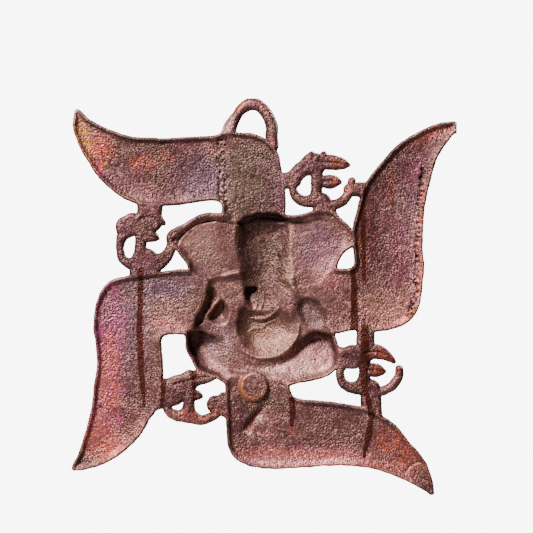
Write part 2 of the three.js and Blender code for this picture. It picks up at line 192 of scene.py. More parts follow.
def in_box_of(line: Array, margin: float, u: Array, v: Array) -> Array:
    """Which places lie in the box round a line, widened by a margin."""
    low, high = line[:, :2].min(0) - margin, line[:, :2].max(0) + margin
    return (u > low[0]) & (u < high[0]) & (v > low[1]) & (v < high[1])


def share_along(start: Point, way: Point, x: Array, y: Array) -> Array:
    """How far along a straight piece the point nearest to each place is, from 0 to 1."""
    (ax, ay), (dx, dy) = start, way
    return np.clip(((x - ax) * dx + (y - ay) * dy) / max(dx * dx + dy * dy, SHORTEST_SQUARED), 0, 1)


def inside_outline(outline: Array, u: Array, v: Array, reach: float = 12.0) -> Array:
    """How far places lie inside a closed outline, less than 0 outside it.

    Args:
        outline: Rows of u and v.
        u: The places' u.
        v: The places' v.
        reach: How far outside the outline the distance is still worked out.

    Returns:
        The distances inside, -reach where a place is further off than that.
    """
    found = np.full(u.shape, -reach)
    close = in_box_of(outline, reach, u, v)
    x, y = u[close], v[close]
    inside = np.zeros(x.shape, bool)
    nearest = np.full(x.shape, np.inf)
    for (ax, ay), (bx, by) in zip(outline, np.roll(outline, -1, 0)):
        dx, dy = bx - ax, by - ay
        if ay != by:
            inside ^= ((ay > y) != (by > y)) & (x < ax + (y - ay) / dy * dx)
        t = share_along((ax, ay), (dx, dy), x, y)
        nearest = np.minimum(nearest, (x - ax - t * dx) ** 2 + (y - ay - t * dy) ** 2)
    found[close] = np.maximum(np.where(inside, 1.0, -1.0) * np.sqrt(nearest), -reach)
    return found


def inside_stroke(line: Array, u: Array, v: Array, reach: float = STROKE_REACH) -> Array:
    """How far places lie inside a stroke of varying width, less than 0 outside it.

    Args:
        line: Rows of u, v and half-width along the stroke.
        u: The places' u.
        v: The places' v.
        reach: How far outside the stroke the distance is still worked out.

    Returns:
        The distances inside, -reach where a place is further off than that.
    """
    found = np.full(u.shape, -reach)
    close = in_box_of(line, line[:, 2].max() + reach, u, v)
    x, y = u[close], v[close]
    best = np.full(x.shape, -reach)
    for (ax, ay, ar), (bx, by, br) in zip(line, line[1:]):
        dx, dy = bx - ax, by - ay
        t = share_along((ax, ay), (dx, dy), x, y)
        best = np.maximum(best, ar + (br - ar) * t - np.hypot(x - ax - t * dx, y - ay - t * dy))
    found[close] = best
    return found


class Grain:
    """Smooth random variation over the drawing, the same on each run."""

    SIDE = 256
    ORIGIN = (400.3, 400.7)  # cells from the lattice's corner to the drawing's hub
    LAYER_SHIFT = (17.0, -9.0)  # so that the layers don't share their corners
    LAYER_SUM = 1.5

    def __init__(self, seed: int) -> None:
        """Fills the lattice from a seed, which sets this grain apart from another."""
        self.lattice = np.random.default_rng(seed).uniform(-1.0, 1.0, (self.SIDE, self.SIDE))

    def at(self, u: Array, v: Array, wavelength: float) -> Array:
        """One layer of the variation, from -1 to 1.

        Args:
            u: The places' u.
            v: The places' v.
            wavelength: Size of its lumps in millimetres.

        Returns:
            The variation at the places.
        """
        x, y = u / wavelength + self.ORIGIN[0], v / wavelength + self.ORIGIN[1]
        i, j = np.floor(x).astype(int), np.floor(y).astype(int)
        s, t = smooth(x - i), smooth(y - j)
        i0, i1, j0, j1 = i % self.SIDE, (i + 1) % self.SIDE, j % self.SIDE, (j + 1) % self.SIDE
        low = self.lattice[j0, i0] * (1 - s) + self.lattice[j0, i1] * s
        high = self.lattice[j1, i0] * (1 - s) + self.lattice[j1, i1] * s
        return low * (1 - t) + high * t

    def layered(self, u: Array, v: Array, wavelength: float, layers: int) -> Array:
        """Several layers, each half as coarse and half as strong as the last.

        Args:
            u: The places' u.
            v: The places' v.
            wavelength: Size of the coarsest lumps in millimetres.
            layers: How many there are.

        Returns:
            The variation at the places, mostly within -1 and 1.
        """
        total = np.zeros(np.shape(u))
        for k in range(layers):
            shifted = u + self.LAYER_SHIFT[0] * k, v + self.LAYER_SHIFT[1] * k
            total += 0.5**k * self.at(*shifted, wavelength / 2**k)
        return total / self.LAYER_SUM


@dataclass(frozen=True)
class Rough:
    """How rough something is.

    Attributes:
        wavelength: Size of its coarsest lumps in millimetres.
        layers: How many layers it has, each half as coarse as the last.
        height: How high the coarsest stand.
        shift: Where in the grain it is read, so that it differs from its neighbours.
    """

    wavelength: float
    layers: int
    height: float
    shift: Point = (0.0, 0.0)

    def over(self, grain: Grain, u: Array, v: Array) -> Array:
        """Its heights at some places, in the grain that it is made of."""
        du, dv = self.shift
        return self.height * grain.layered(u + du, v + dv, self.wavelength, self.layers)


@dataclass
class Field:
    """Values over a regular grid of the drawing.

    Attributes:
        low: The grid's lowest u and v.
        step: Its spacing in millimetres.
        values: One row for each v and one column for each u.
    """

    low: Point
    step: float
    values: Array

    NEAR_ZERO = 1e-9  # what counts as nothing, so that no line runs through a corner
    LAST_CELL = 1.001  # cells that a place keeps from the far edge

    @classmethod
    def grid(cls, low: Point, high: Point, step: float) -> tuple[Array, Array]:
        """The places of a grid from one corner to the other."""
        return np.meshgrid(np.arange(low[0], high[0], step), np.arange(low[1], high[1], step))

    def sample(self, u: Array, v: Array) -> Array:
        """The values at places between the grid's own.

        Args:
            u: The places' u.
            v: The places' v.

        Returns:
            The values there.
        """
        rows, columns = self.values.shape
        x = np.clip((u - self.low[0]) / self.step, 0, columns - self.LAST_CELL)
        y = np.clip((v - self.low[1]) / self.step, 0, rows - self.LAST_CELL)
        i, j = x.astype(int), y.astype(int)
        s, t = x - i, y - j
        low = self.values[j, i] * (1 - s) + self.values[j, i + 1] * s
        high = self.values[j + 1, i] * (1 - s) + self.values[j + 1, i + 1] * s
        return low * (1 - t) + high * t

    def slope(self, u: Array, v: Array, reach: float = 0.6) -> tuple[Array, Array]:
        """The rise for each millimetre to the right and up.

        Args:
            u: The places' u.
            v: The places' v.
            reach: How far to each side it is measured.

        Returns:
            The two slopes.
        """
        right = self.sample(u + reach, v) - self.sample(u - reach, v)
        up = self.sample(u, v + reach) - self.sample(u, v - reach)
        return right / (2 * reach), up / (2 * reach)

    def blurred(self, cells: int) -> "Field":
        """The field averaged over a square.

        Args:
            cells: Cells to each side that the average takes in.

        Returns:
            The averaged field.
        """
        spread = self.values
        for axis in (0, 1):
            padding = [(cells + 1, cells) if a == axis else (0, 0) for a in (0, 1)]
            sums = np.cumsum(np.pad(spread, padding, mode="edge"), axis=axis)
            ahead = np.take(sums, np.arange(2 * cells + 1, sums.shape[axis]), axis=axis)
            behind = np.take(sums, np.arange(0, sums.shape[axis] - 2 * cells - 1), axis=axis)
            spread = (ahead - behind) / (2 * cells + 1)
        return Field(self.low, self.step, spread)

    # Which of a cell's edges (bottom, right, top, left) a line enters and leaves by, for each
    # set of its corners that lie inside. The inside is to the left of the line.
    CROSSINGS = {
        1: ["BL"], 2: ["RB"], 3: ["RL"], 4: ["TR"], 5: ["BL", "TR"], 6: ["TB"], 7: ["TL"],
        8: ["LT"], 9: ["BT"], 10: ["RB", "LT"], 11: ["RT"], 12: ["LR"], 13: ["BR"], 14: ["LB"],
    }

    def crossings_after(self, f: Array) -> dict[int, int]:
        """Which cell edge a line crosses after each one that it crosses.

        Args:
            f: The field less the line's level.

        Returns:
            The next edge for each edge. Level edges are numbered as the corner to their left,
            upright ones as the corner below them plus the number of corners.
        """
        columns = f.shape[1]
        inside = f > 0
        kinds = inside[:-1, :-1] + 2 * inside[:-1, 1:] + 4 * inside[1:, 1:] + 8 * inside[1:, :-1]
        after: dict[int, int] = {}
        for kind, crossings in self.CROSSINGS.items():
            i, j = np.nonzero(kinds == kind)
            edges = {
                "B": i * columns + j,
                "T": (i + 1) * columns + j,
                "L": f.size + i * columns + j,
                "R": f.size + i * columns + j + 1,
            }
            for start, end in crossings:
                after.update(zip(edges[start].tolist(), edges[end].tolist()))
        return after

    def lines(self, level: float, spacing: float, shortest: float = 4.0) -> list[Array]:
        """The closed lines along which the field has one value.

        Args:
            level: That value.
            spacing: Distance between the points of a line.
            shortest: Lines of less length than this are dropped.

        Returns:
            The lines as rows of u and v, each with the greater values on its left.
        """
        f = self.values - level
        f = np.where(np.abs(f) < self.NEAR_ZERO, self.NEAR_ZERO, f)
        columns = f.shape[1]
        after = self.crossings_after(f)
        flat = f.ravel()
        found = []
        while after:
            first, edge = after.popitem()
            loop = [first]
            while edge != first:
                loop.append(edge)
                edge = after.pop(edge)
            ids = np.array(loop)
            upright = ids >= f.size
            cell = ids % f.size
            other = cell + np.where(upright, columns, 1)
            t = flat[cell] / (flat[cell] - flat[other])
            x = cell % columns + np.where(upright, 0.0, t)
            y = cell // columns + np.where(upright, t, 0.0)
            line = respaced(np.column_stack([x, y]) * self.step + np.array(self.low), spacing)
            if len(line) * spacing > shortest:
                found.append(line)
        return found


# The drawing of the casting


@dataclass(frozen=True)
class Arm:
    """A hooked arm of the cross.

    Attributes:
        name: Which arm it is.
        outline: Its edge in order, over the shoulder to the point and back round the armpit.
    """

    name: str
    outline: list[Point]


LIP_SHARE = 0.25  # how much of a bowl's depth falls away at its lip
LIP_RUN = 0.3  # over what share of its run


class Brink(Enum):
    """How a hollow falls away from its border: its share of the full depth at a share of its run."""

    SHARP = "sharp"
    BOWL = "bowl"
    BASIN = "basin"
    SOFT = "soft"

    def share(self, t: Array) -> Array:
        """The share of the depth.

        Args:
            t: The share of the run, 0 at the border and 1 at the floor.

        Returns:
            The share of the depth.
        """
        if self is Brink.SHARP:
            return quarter_round(t)
        if self is Brink.SOFT:
            return smooth(t)
        power = 2 if self is Brink.BOWL else 3
        bowl = 1.0 - (1.0 - np.clip(t, 0.0, 1.0)) ** power
        return LIP_SHARE * quarter_round(t / LIP_RUN) + (1.0 - LIP_SHARE) * bowl


@dataclass(frozen=True)
class Form:
    """A hollow of the figure.

    Attributes:
        name: What it is the hollow of.
        outline: The points that its border passes through.
        depth: Depth of its floor behind the rims.
        edge: Run from the border to the floor.
        tilt: How much deeper the floor gets for each millimetre to the right and up.
        brink: How it falls away from its border.
        fillet: How rounded its border is.
    """

    name: str
    outline: list[Point]
    depth: float
    edge: float
    tilt: Point = (0.0, 0.0)
    brink: Brink = Brink.SHARP
    fillet: float = 1.2


@dataclass(frozen=True)
class Mark:
    """A line that stands up from a surface or is cut into it.

    Attributes:
        name: What it is.
        path: Its stations u, v and half-width.
        height: How far it stands up, less than 0 where it is cut in.
        edge: Run from its border to its full height.
    """

    name: str
    path: list[Station]
    height: float
    edge: float


@dataclass(frozen=True)
class Scroll:
    """One of the leafy scrolls of the openwork.

    Attributes:
        name: The gap that it stands in.
        eye: Where its eye is.
        size: Its size across and up.
        leaf: The stations of its leaf.
        bud: The stations of its bud.
        shoots: Strokes of its own.
        runners: Strokes that tie it to the casting.
    """

    name: str
    eye: Point
    size: Point
    leaf: list[Station]
    bud: list[Station]
    shoots: list[list[Station]]
    runners: list[list[Station]]

    STALK = [(6.8, 12.4, 3.2), (7.0, 4.0, 2.8), (6.8, -2.0, 2.8), (6.2, -7.4, 3.6)]
    CROWN = [(0.0, 8.0, 3.8), (7.0, 9.4, 4.2)]
    RING = [
        (-1.6, 7.4, 3.2), (-5.2, 1.6, 2.1), (-4.0, -5.0, 2.1), (1.2, -7.6, 2.8), (6.0, -6.8, 3.4),
    ]
    TENDRIL = [
        (6.6, -7.0, 3.2), (13.0, -9.7, 2.3), (20.0, -7.4, 2.2), (24.0, -1.8, 2.1), (24.5, 2.2, 1.8),
    ]

    def strokes(self) -> list[list[Station]]:
        """All its strokes in the drawing.

        Returns:
            The stations of each.
        """
        (u, v), (across, up) = self.eye, self.size
        shared = [
            [(u + x * across, v + y * up, r) for x, y, r in stroke]
            for stroke in (self.STALK, self.CROWN, self.RING, self.TENDRIL)
        ]
        return [*shared, self.leaf, self.bud, *self.shoots, *self.runners]


ARMS = [
    Arm("top", [
        (13.7, 30), (13.7, 42), (13.7, 54), (12, 64), (10.4, 73), (8, 76.8), (5, 79.6), (2, 81.8),
        (-3, 83.3), (-10, 84), (-17.5, 84.2), (-21, 82.6), (-30, 81.8), (-50, 81.1), (-63, 81.8),
        (-73, 84.7), (-80, 88), (-85, 90.9), (-90.2, 95.4), (-91.4, 95.2), (-92.7, 91), (-92.7, 86),
        (-90, 78), (-87.5, 73), (-82, 64.5), (-78, 59.5), (-70, 52.5), (-62, 48.5), (-55, 47.4),
        (-48.3, 47.3), (-37, 48), (-25, 49.8), (-20, 49.4), (-18.4, 47.5), (-18.2, 43.5),
        (-18.2, 30),
    ]),
    Arm("right", [
        (30, 15.5), (39.5, 15.5), (46.8, 15.9), (48.2, 17.6), (47.7, 26), (47.3, 35.5), (49, 42),
        (51, 50), (55, 60), (63, 70), (70, 77.5), (80, 84), (90, 88.2), (99, 89.2), (100.2, 88.2),
        (99.6, 86.6), (100.2, 83.8), (98.2, 83.1), (94, 77.5), (90, 71.5), (87.2, 63), (85.3, 55),
        (83.3, 45), (82.7, 35), (82.6, 25), (83.2, 18), (82.2, 5), (80.5, -4), (76, -10.5),
        (68, -14.3), (60, -15.8), (54, -15.6), (48, -15.2), (38, -17), (28, -17),
    ]),
    Arm("left", [
        (-28, 15.3), (-35.2, 15.3), (-47, 14.3), (-57, 13), (-65.5, 11.8), (-72, 10.5), (-77.5, 6),
        (-81, -1.5), (-82.5, -13), (-81.3, -23), (-80.8, -33), (-82.2, -43), (-83.7, -56),
        (-86.7, -67), (-90, -77), (-93.4, -84.6), (-92.8, -85.4), (-90, -85.6), (-80, -83.2),
        (-70, -78), (-60, -69), (-54.5, -60), (-51, -54.7), (-49.2, -46), (-47.7, -39),
        (-48, -30), (-48.4, -19.4), (-46.6, -17.6), (-37, -17.2), (-28, -17.5),
    ]),
    Arm("bottom", [
        (-16.3, -32), (-16.3, -42), (-15.7, -62), (-15, -73), (-12.5, -78.5), (-5, -83), (6, -84.6),
        (22, -84), (40, -83), (53, -83.8), (63, -86.3), (73, -90), (83, -95.2), (87.4, -98),
        (88.2, -97.4), (87.5, -91.5), (85, -83), (81, -77), (76, -71.5), (69, -63), (62, -58),
        (56, -55), (48, -53), (35, -51), (21, -49.9), (17.6, -48.6), (15.8, -44), (15.8, -32),
    ]),
]

FIGURE_OUTLINE = [
    (-18, 43.4), (-25.5, 43.8), (-31.5, 41.5), (-37.5, 37.8), (-44.4, 34.2), (-44.8, 30),
    (-38.8, 22.4), (-35, 15), (-37.5, 8), (-38, -8), (-36.4, -17), (-36.2, -25), (-33, -30.6),
    (-30.4, -35.4), (-22, -38.8), (-16, -42), (-6, -44), (8, -44), (16, -42.6), (26, -40.6),
    (34.5, -38.2), (39.4, -34.5), (41.2, -28), (39.4, -20.5), (38, -14), (40.5, -4), (40.5, 10),
    (39.6, 16.6), (43, 23.4), (47.8, 27.4), (48.8, 31), (46.8, 36), (41.5, 40.9), (37, 44.6),
    (28, 44.6), (20.5, 42.6), (14, 42.6), (4, 45), (-8, 45),
]

FORMS = [
    Form("left ear", [
        (-3, 38), (-18, 40.8), (-26, 41), (-33, 37.6), (-39, 32.6), (-40, 28), (-36, 20),
        (-32, 12), (-24, 9), (-11, 13), (-3, 14),
    ], 3.3, 2.0, (0.05, -0.06), Brink.SOFT),
    Form("right ear", [
        (8, 40), (24, 41.4), (31, 42.6), (38, 41), (43, 37), (45, 31), (42, 24), (38, 16),
        (31, 7), (20, 5), (8, 6),
    ], 3.3, 2.2, (-0.05, 0.03), Brink.SOFT),
    Form("torso", [
        (-26.5, 12), (-12.5, 15.5), (14, 14), (22, 7), (29, 1), (37, -10), (40, -18), (43, -27),
        (37, -39), (16, -41), (0, -41.6), (-16, -40), (-32, -35.5), (-38, -27), (-38, -18),
        (-33.5, -10), (-30, -2),
    ], 5.3, 6.0, (-0.03, 0.0), Brink.SOFT),
    Form("head and trunk", [
        (-10.5, 37.5), (-7, 41.5), (-1, 44), (6, 44), (12, 42), (16, 38.5), (16.6, 30),
        (15.6, 20), (13.5, 10), (11.5, 2), (10, -4), (6, -8.6), (0, -10.2), (-4, -9), (-7, -4),
        (-8, 4), (-9.6, 15), (-11.4, 28),
    ], 10.0, 14.0, (-0.05, 0.04), Brink.BASIN, 4.0),
    Form("brow under the head's top edge", [
        (-10.4, 38.8), (-6.4, 41.4), (-1.6, 43.8), (5, 44.4), (11, 42.8), (14.6, 40.4), (11, 37),
        (4, 35.4), (-4, 35), (-9, 36.4),
    ], 8.4, 2.0, (0.0, 0.25)),
    Form("belly", [
        (-10, -3), (-12.6, -9), (-13, -15), (-11.2, -21), (-7.4, -26.2), (0, -29.6), (8, -29),
        (14, -25.6), (19, -19.6), (20.4, -13.5), (19, -8), (13, -3), (3, -1),
    ], 10.2, 11.5, (-0.15, 0.02), Brink.BOWL),
    Form("curled tip of the trunk", [
        (-7.6, 3.4), (-6, 6.6), (-2.4, 8), (0.8, 6.6), (1.8, 3), (1.4, -1.5), (-0.4, -5.8),
        (-3.5, -7), (-5.4, -4), (-6.8, -0.6),
    ], 10.7, 3.4, (-0.2, 0.42)),
    Form("left forearm", [
        (-24.8, 9), (-20.2, 8), (-18.6, 1.6), (-22, -4.6), (-25.6, -9), (-27, -13),
        (-32.4, -14.6), (-31.4, -9), (-27.6, -1),
    ], 8.2, 4.4, (0.12, -0.10), Brink.BOWL),
    Form("left hand", [
        (-26, -10.6), (-24.8, -6.2), (-21, -1.2), (-18, 1.2), (-15, -2.4), (-13.4, -8.4),
        (-15.4, -13.2), (-21, -13),
    ], 11.2, 6.0, (-0.42, 0.30)),
    Form("left knee", [
        (-37, -18), (-31.8, -13.6), (-22, -14.6), (-14, -16.8), (-12, -24), (-10.4, -31),
        (-12, -38), (-18, -42), (-28, -39), (-34, -33), (-37.4, -26),
    ], 9.4, 10.5, (-0.28, 0.16), Brink.BOWL),
    Form("right hand", [
        (18.6, -8), (18.8, -2.5), (21.5, 1.6), (27, 1.4), (33, -2.6), (36, -8),
        (34.5, -13.5), (28.4, -15.8), (22, -14.4),
    ], 6.3, 4.6, (-0.03, 0.08), Brink.BOWL),
    Form("right shin and knee", [
        (-9, -29.2), (-2, -29.4), (8, -28.4), (14, -25.4), (19.6, -19.6), (25.6, -15.8),
        (32, -14.8), (37.4, -17), (41, -24), (42, -31), (38, -37), (30, -41), (20, -42),
        (6, -40.6), (-6, -37),
    ], 7.8, 6.0, (-0.02, 0.32), Brink.BOWL),
]

SCROLLS = [
    Scroll(
        "top left", (-64.8, 26.6), (0.86, 1.12),
        leaf=[(-58.8, 41, 3.0), (-53, 41.2, 3.4), (-49, 39.6, 2.0), (-47.2, 38.4, 0.8)],
        bud=[(-58, 31.8, 2.6), (-54, 32, 3.0), (-50.4, 30.8, 1.0)],
        shoots=[
            [(-66.2, 36.6, 5.3), (-62.4, 38.2, 5.4)],
            [(-53, 19.2, 3.0), (-47, 22, 2.3), (-43.4, 27, 2.3), (-43.6, 31, 2.3)],
        ],
        runners=[[(-54.3, 40, 6.2), (-54.3, 52, 6.2)], [(-56.8, 19, 7.0), (-56.6, 9, 7.6)]],
    ),
    Scroll(
        "top right", (22.6, 57.4), (1.0, 1.04),
        leaf=[(30, 69.4, 3.0), (36.4, 69, 3.9), (41.4, 68.4, 3.0), (45.4, 67.6, 0.9)],
        bud=[(32, 59.4, 2.8), (36.6, 59.5, 3.4), (40.8, 59, 1.1)],
        shoots=[
            [(15.8, 60, 3.3), (21.4, 64.8, 3.8)],
            [(25.2, 68.8, 3.8), (26.8, 73, 1.7)],
            [(32, 69, 3.2), (33, 73, 1.6)],
        ],
        runners=[
            [(9, 59.4, 4.2), (17.6, 60, 3.8)],
            [(45.8, 55.4, 2.8), (56, 54.9, 4.4)],
            [(32, 49.4, 4.2), (33.8, 41, 6.4)],
        ],
    ),
    Scroll(
        "bottom left", (-41.2, -50.6), (0.96, 1.0),
        leaf=[(-42, -42.2, 4.0), (-32, -39.6, 3.9), (-25.6, -38.4, 3.1), (-21.6, -38.8, 0.9)],
        bud=[(-33.5, -47.4, 2.8), (-31, -47.8, 2.4), (-28.6, -48.4, 1.0)],
        shoots=[],
        runners=[[(-54, -48.2, 7.6), (-43, -46.2, 7.0)], [(-21, -52.6, 4.6), (-12, -53.6, 6.6)]],
    ),
    Scroll(
        "bottom right", (46.4, -36.8), (1.0, 0.98),
        leaf=[(53.4, -26.4, 3.0), (60, -26, 3.5), (65, -28, 2.3), (68.2, -31, 0.8)],
        bud=[(54.4, -35, 2.8), (59.4, -35.2, 3.2), (63.6, -35.9, 1.0)],
        shoots=[[(47.2, -27.6, 4.8), (52, -27.8, 4.4)]],
        runners=[
            [(53.8, -26, 4.6), (54, -12, 4.4)],
            [(38, -29, 5.0), (48, -29.4, 5.2)],
            [(56.6, -45, 4.8), (57, -60, 5.2)],
        ],
    ),
]

LOOP_PATH = [
    (-14.6, 83.2, 3.0), (-13, 88.2, 2.8), (-10, 93.6, 2.4), (-6.4, 97.2, 2.8), (-2.8, 98.4, 3.0),
    (1.2, 97, 2.9), (4.8, 92.6, 2.7), (7, 87, 2.8), (6.9, 82, 3.0), (8.2, 77.2, 2.2),
]

LOOP_FOOT = [(-15.6, 83.6, 2.6), (-15, 87, 2.2), (-12.8, 91, 1.6)]

# Lines in the hollow, as the moulding left them
BACK_MARKS = [
    Mark("fold of the trunk's curl", [
        (0.8, 7.5, 1.0), (2.6, 3, 1.5), (2.2, -2, 1.5), (0.4, -6.6, 1.2),
    ], 1.0, 1.9),
    Mark("swelling by the right hand", [(16.6, 10, 4), (17.2, 0, 5.6), (16.4, -8, 3.6)], 1.6, 5.6),
    Mark("crest between the head and the right ear", [
        (15, 38.5, 1.2), (16.6, 31, 1.8), (17, 21, 2.0), (17.6, 13, 1.6), (16.4, 8, 1.0),
    ], 0.5, 2.4),
    Mark("rim of the belly", [
        (-7, -26.2, 1.0), (0, -29.2, 1.7), (9, -28.4, 1.8), (15, -24.6, 1.8), (19.6, -18.6, 1.7),
        (20.6, -12.6, 1.0),
    ], 1.3, 1.7),
    Mark("lip under the trunk", [
        (-3.6, -9.4, 1.2), (1, -10.2, 1.8), (6, -8.6, 1.8), (10.4, -4.4, 1.2),
    ], 1.3, 1.8),
    Mark("crease over the forearm", [(-26, 9.6, 0.6), (-20, 11.2, 0.8), (-12.6, 14, 0.5)], -0.4, 0.7),
    Mark("undercut of the left ear", [
        (-40.6, 27, 0.5), (-38.8, 31.6, 0.9), (-33, 36.8, 0.8), (-26, 39.4, 0.9), (-18, 39.6, 0.7),
        (-12, 37.6, 0.5),
    ], -1.4, 0.9),
    Mark("flash over the belly", [
        (-5, -17, 0.4), (-1.6, -14.6, 0.6), (1.4, -15, 0.5), (4.4, -12.2, 0.7), (8.6, -10.4, 0.5),
    ], 0.9, 0.6),
    Mark("flash beside the lip", [(2.6, -9.6, 0.5), (6, -8.2, 0.5), (9.6, -5, 0.4)], 0.7, 0.5),
    Mark("groove in the bottom arm", [(2.4, -54, 2.4), (-2, -59.6, 3.6), (-7, -65.4, 2.8)], -1.4, 3.6),
    Mark("swelling beside the groove", [(1.5, -60.5, 2.8), (3, -62, 2.8)], 1.3, 2.8),
    Mark("swelling below the groove", [(-3.6, -67.5, 2.8), (-2.2, -69, 2.8)], 1.3, 2.8),
    Mark("hole in the left arm", [(-79.2, -53.4, 0.9), (-78.4, -54.6, 0.9)], -1.2, 0.8),
    Mark("crack at the bottom point", [
        (73.6, -86.6, 0.5), (77.4, -82.6, 0.6), (82, -81, 0.5),
    ], -0.9, 0.5),
    Mark("step of flash on the left arm", [
        (-81.6, -33, 0.6), (-82.4, -38, 0.8), (-82.6, -43, 0.6),
    ], 0.35, 0.5),
]
EAR_LAND = Mark("land round the ear", [
    (-45, 31.4, 2.6), (-38.4, 36.6, 2.2), (-32, 41.2, 2.2), (-25, 43, 2.2), (-16, 42.6, 1.8),
], -0.5, 0.9)


def fold(name: str, *path: Station) -> Mark:
    """A fine line cut into the front."""
    return Mark(name, list(path), -0.6, 0.5)


# Lines of the relief in front, which the photo leaves to be guessed
FRONT_MARKS = [
    Mark("band of the crown", [
        (-9.4, 38, 1.0), (-4, 40.4, 1.1), (2.8, 41.4, 1.1), (9.6, 40.4, 1.1), (15, 38, 1.0),
    ], 1.3, 1.3),
    Mark("lower band of the crown", [(-9.6, 34.6, 0.8), (2.8, 37.4, 0.9), (15.2, 34.6, 0.8)], 1.1, 1.1),
    Mark("drop on the forehead", [(2.8, 34, 0.7), (2.8, 30.4, 1.5)], 1.3, 1.2),
    Mark("left eye", [(-7.2, 22.6, 0.4), (-4.6, 23.4, 1.2), (-2, 22.4, 0.4)], 1.2, 1.0),
    Mark("right eye", [(7.6, 22.4, 0.4), (10.2, 23.4, 1.2), (12.8, 22.6, 0.4)], 1.2, 1.0),
    Mark("left brow", [(-8.4, 24.6, 0.5), (-4.8, 26.8, 0.8), (-0.8, 25, 0.5)], 1.0, 0.9),
    Mark("right brow", [(6.4, 25, 0.5), (10.4, 26.8, 0.8), (14, 24.6, 0.5)], 1.0, 0.9),
    Mark("left tusk", [(-7.8, 14.6, 1.5), (-10.4, 11.4, 1.2), (-12.4, 7.6, 0.6)], 1.8, 1.5),
    Mark("right tusk", [(12.6, 14.6, 1.5), (15.2, 11.6, 1.2), (16.6, 8.6, 0.8)], 1.8, 1.5),
    fold("first fold of the trunk", (-5.6, 13.6, 0.3), (2.6, 12, 0.5), (10.8, 13.6, 0.3)),
    fold("second fold of the trunk", (-5.4, 9.8, 0.3), (2.4, 8.2, 0.5), (10.2, 9.8, 0.3)),
    fold("third fold of the trunk", (-5, 6, 0.3), (2.2, 4.4, 0.5), (9.6, 6, 0.3)),
    fold("fourth fold of the trunk", (-4.4, 2.2, 0.3), (2, 0.6, 0.5), (8.8, 2.2, 0.3)),
    fold("fifth fold of the trunk", (-3.6, -1.8, 0.3), (2, -3.2, 0.5), (7.8, -1.8, 0.3)),
    Mark("border of the left ear", [
        (-13, 39, 0.8), (-20, 39.4, 1.1), (-26.6, 38.8, 1.1), (-33, 35.2, 1.1), (-37.4, 30, 1.0),
        (-35.4, 22.6, 1.0), (-31.4, 14.6, 1.0), (-24.6, 11.4, 0.8),
    ], 1.1, 1.3),
    Mark("folds of the left ear", [(-33, 30, 0.3), (-25, 26, 0.7), (-16, 24.4, 0.4)], -0.7, 0.7),
    Mark("lower fold of the left ear", [(-30, 22, 0.3), (-24, 19.6, 0.6), (-17, 19.4, 0.4)], -0.6, 0.6),
    Mark("border of the right ear", [
        (19, 38.6, 0.8), (25, 39.2, 1.1), (32, 40, 1.1), (37.6, 38, 1.1), (41.8, 32.6, 1.0),
        (40.4, 25.4, 1.0), (36.6, 17.4, 1.0), (30.4, 9.8, 0.8),
    ], 1.1, 1.3),
    Mark("folds of the right ear", [(38, 31, 0.3), (30, 27.4, 0.7), (21.4, 26, 0.4)], -0.7, 0.7),
    Mark("lower fold of the right ear", [(34.6, 22.6, 0.3), (28, 20, 0.6), (22, 20, 0.4)], -0.6, 0.6),
    Mark("band of the left arm", [(-31.4, -2, 0.8), (-25, -3.6, 1.0), (-19.6, -1, 0.8)], 0.8, 1.1),
    fold("left fingers, first", (-22.4, -4.4, 0.3), (-20.6, -11.4, 0.4)),
    fold("left fingers, second", (-19.4, -2.8, 0.3), (-17.6, -10.8, 0.4)),
    fold("right fingers, first", (22.8, -0.6, 0.3), (23.4, -12.4, 0.4)),
    fold("right fingers, second", (26.6, -0.4, 0.3), (27, -13.4, 0.4)),
    fold("right fingers, third", (30.4, -2.2, 0.3), (30.6, -12.6, 0.4)),
    Mark("thread over the belly", [
        (-11, -9.6, 0.6), (-3, -17, 0.8), (6, -22.6, 0.8), (13.6, -24.8, 0.6),
    ], 0.7, 0.9),
    Mark("navel", [(6.4, -16.6, 0.8), (6.5, -17, 0.8)], -1.0, 0.9),
    Mark("band of the left ankle", [(-13.4, -25, 0.6), (-19, -33, 0.9), (-25.4, -38, 0.6)], 0.8, 1.0),
    Mark("fold of the left knee", [(-33.6, -22, 0.3), (-26, -19.4, 0.6), (-18, -19.6, 0.4)], -0.6, 0.6),
    Mark("band of the right ankle", [(0.4, -30.4, 0.7), (2, -35, 0.9), (1.4, -39.4, 0.7)], 0.8, 1.0),
    fold("toes, first", (-6.4, -32, 0.3), (-2.4, -32.4, 0.4)),
    fold("toes, second", (-6.8, -34.6, 0.3), (-2.6, -35, 0.4)),
    Mark("fold of the right knee", [(22, -22, 0.3), (29, -19.6, 0.6), (36, -21.4, 0.4)], -0.6, 0.6),
]


@dataclass(frozen=True)
class PitRow:
    """A row of pits where the sand broke away.

    Attributes:
        path: The line that it follows.
        count: How many pits it has.
        scatter: How far they stray from the line.
        depths: Least and greatest depth of a pit.
        radii: Least and greatest radius of a pit.
    """

    path: list[Point]
    count: int
    scatter: float
    depths: Point
    radii: Point = (0.6, 1.0)


PIT_ROWS = [
    PitRow([(83, 66), (81.4, 50), (80.2, 34), (80, 18), (79, 2), (76, -8)], 40, 0.45, (0.9, 1.9)),
    PitRow([(-17.4, 50), (-18.4, 62), (-17.6, 80)], 30, 1.3, (0.5, 1.4)),
]


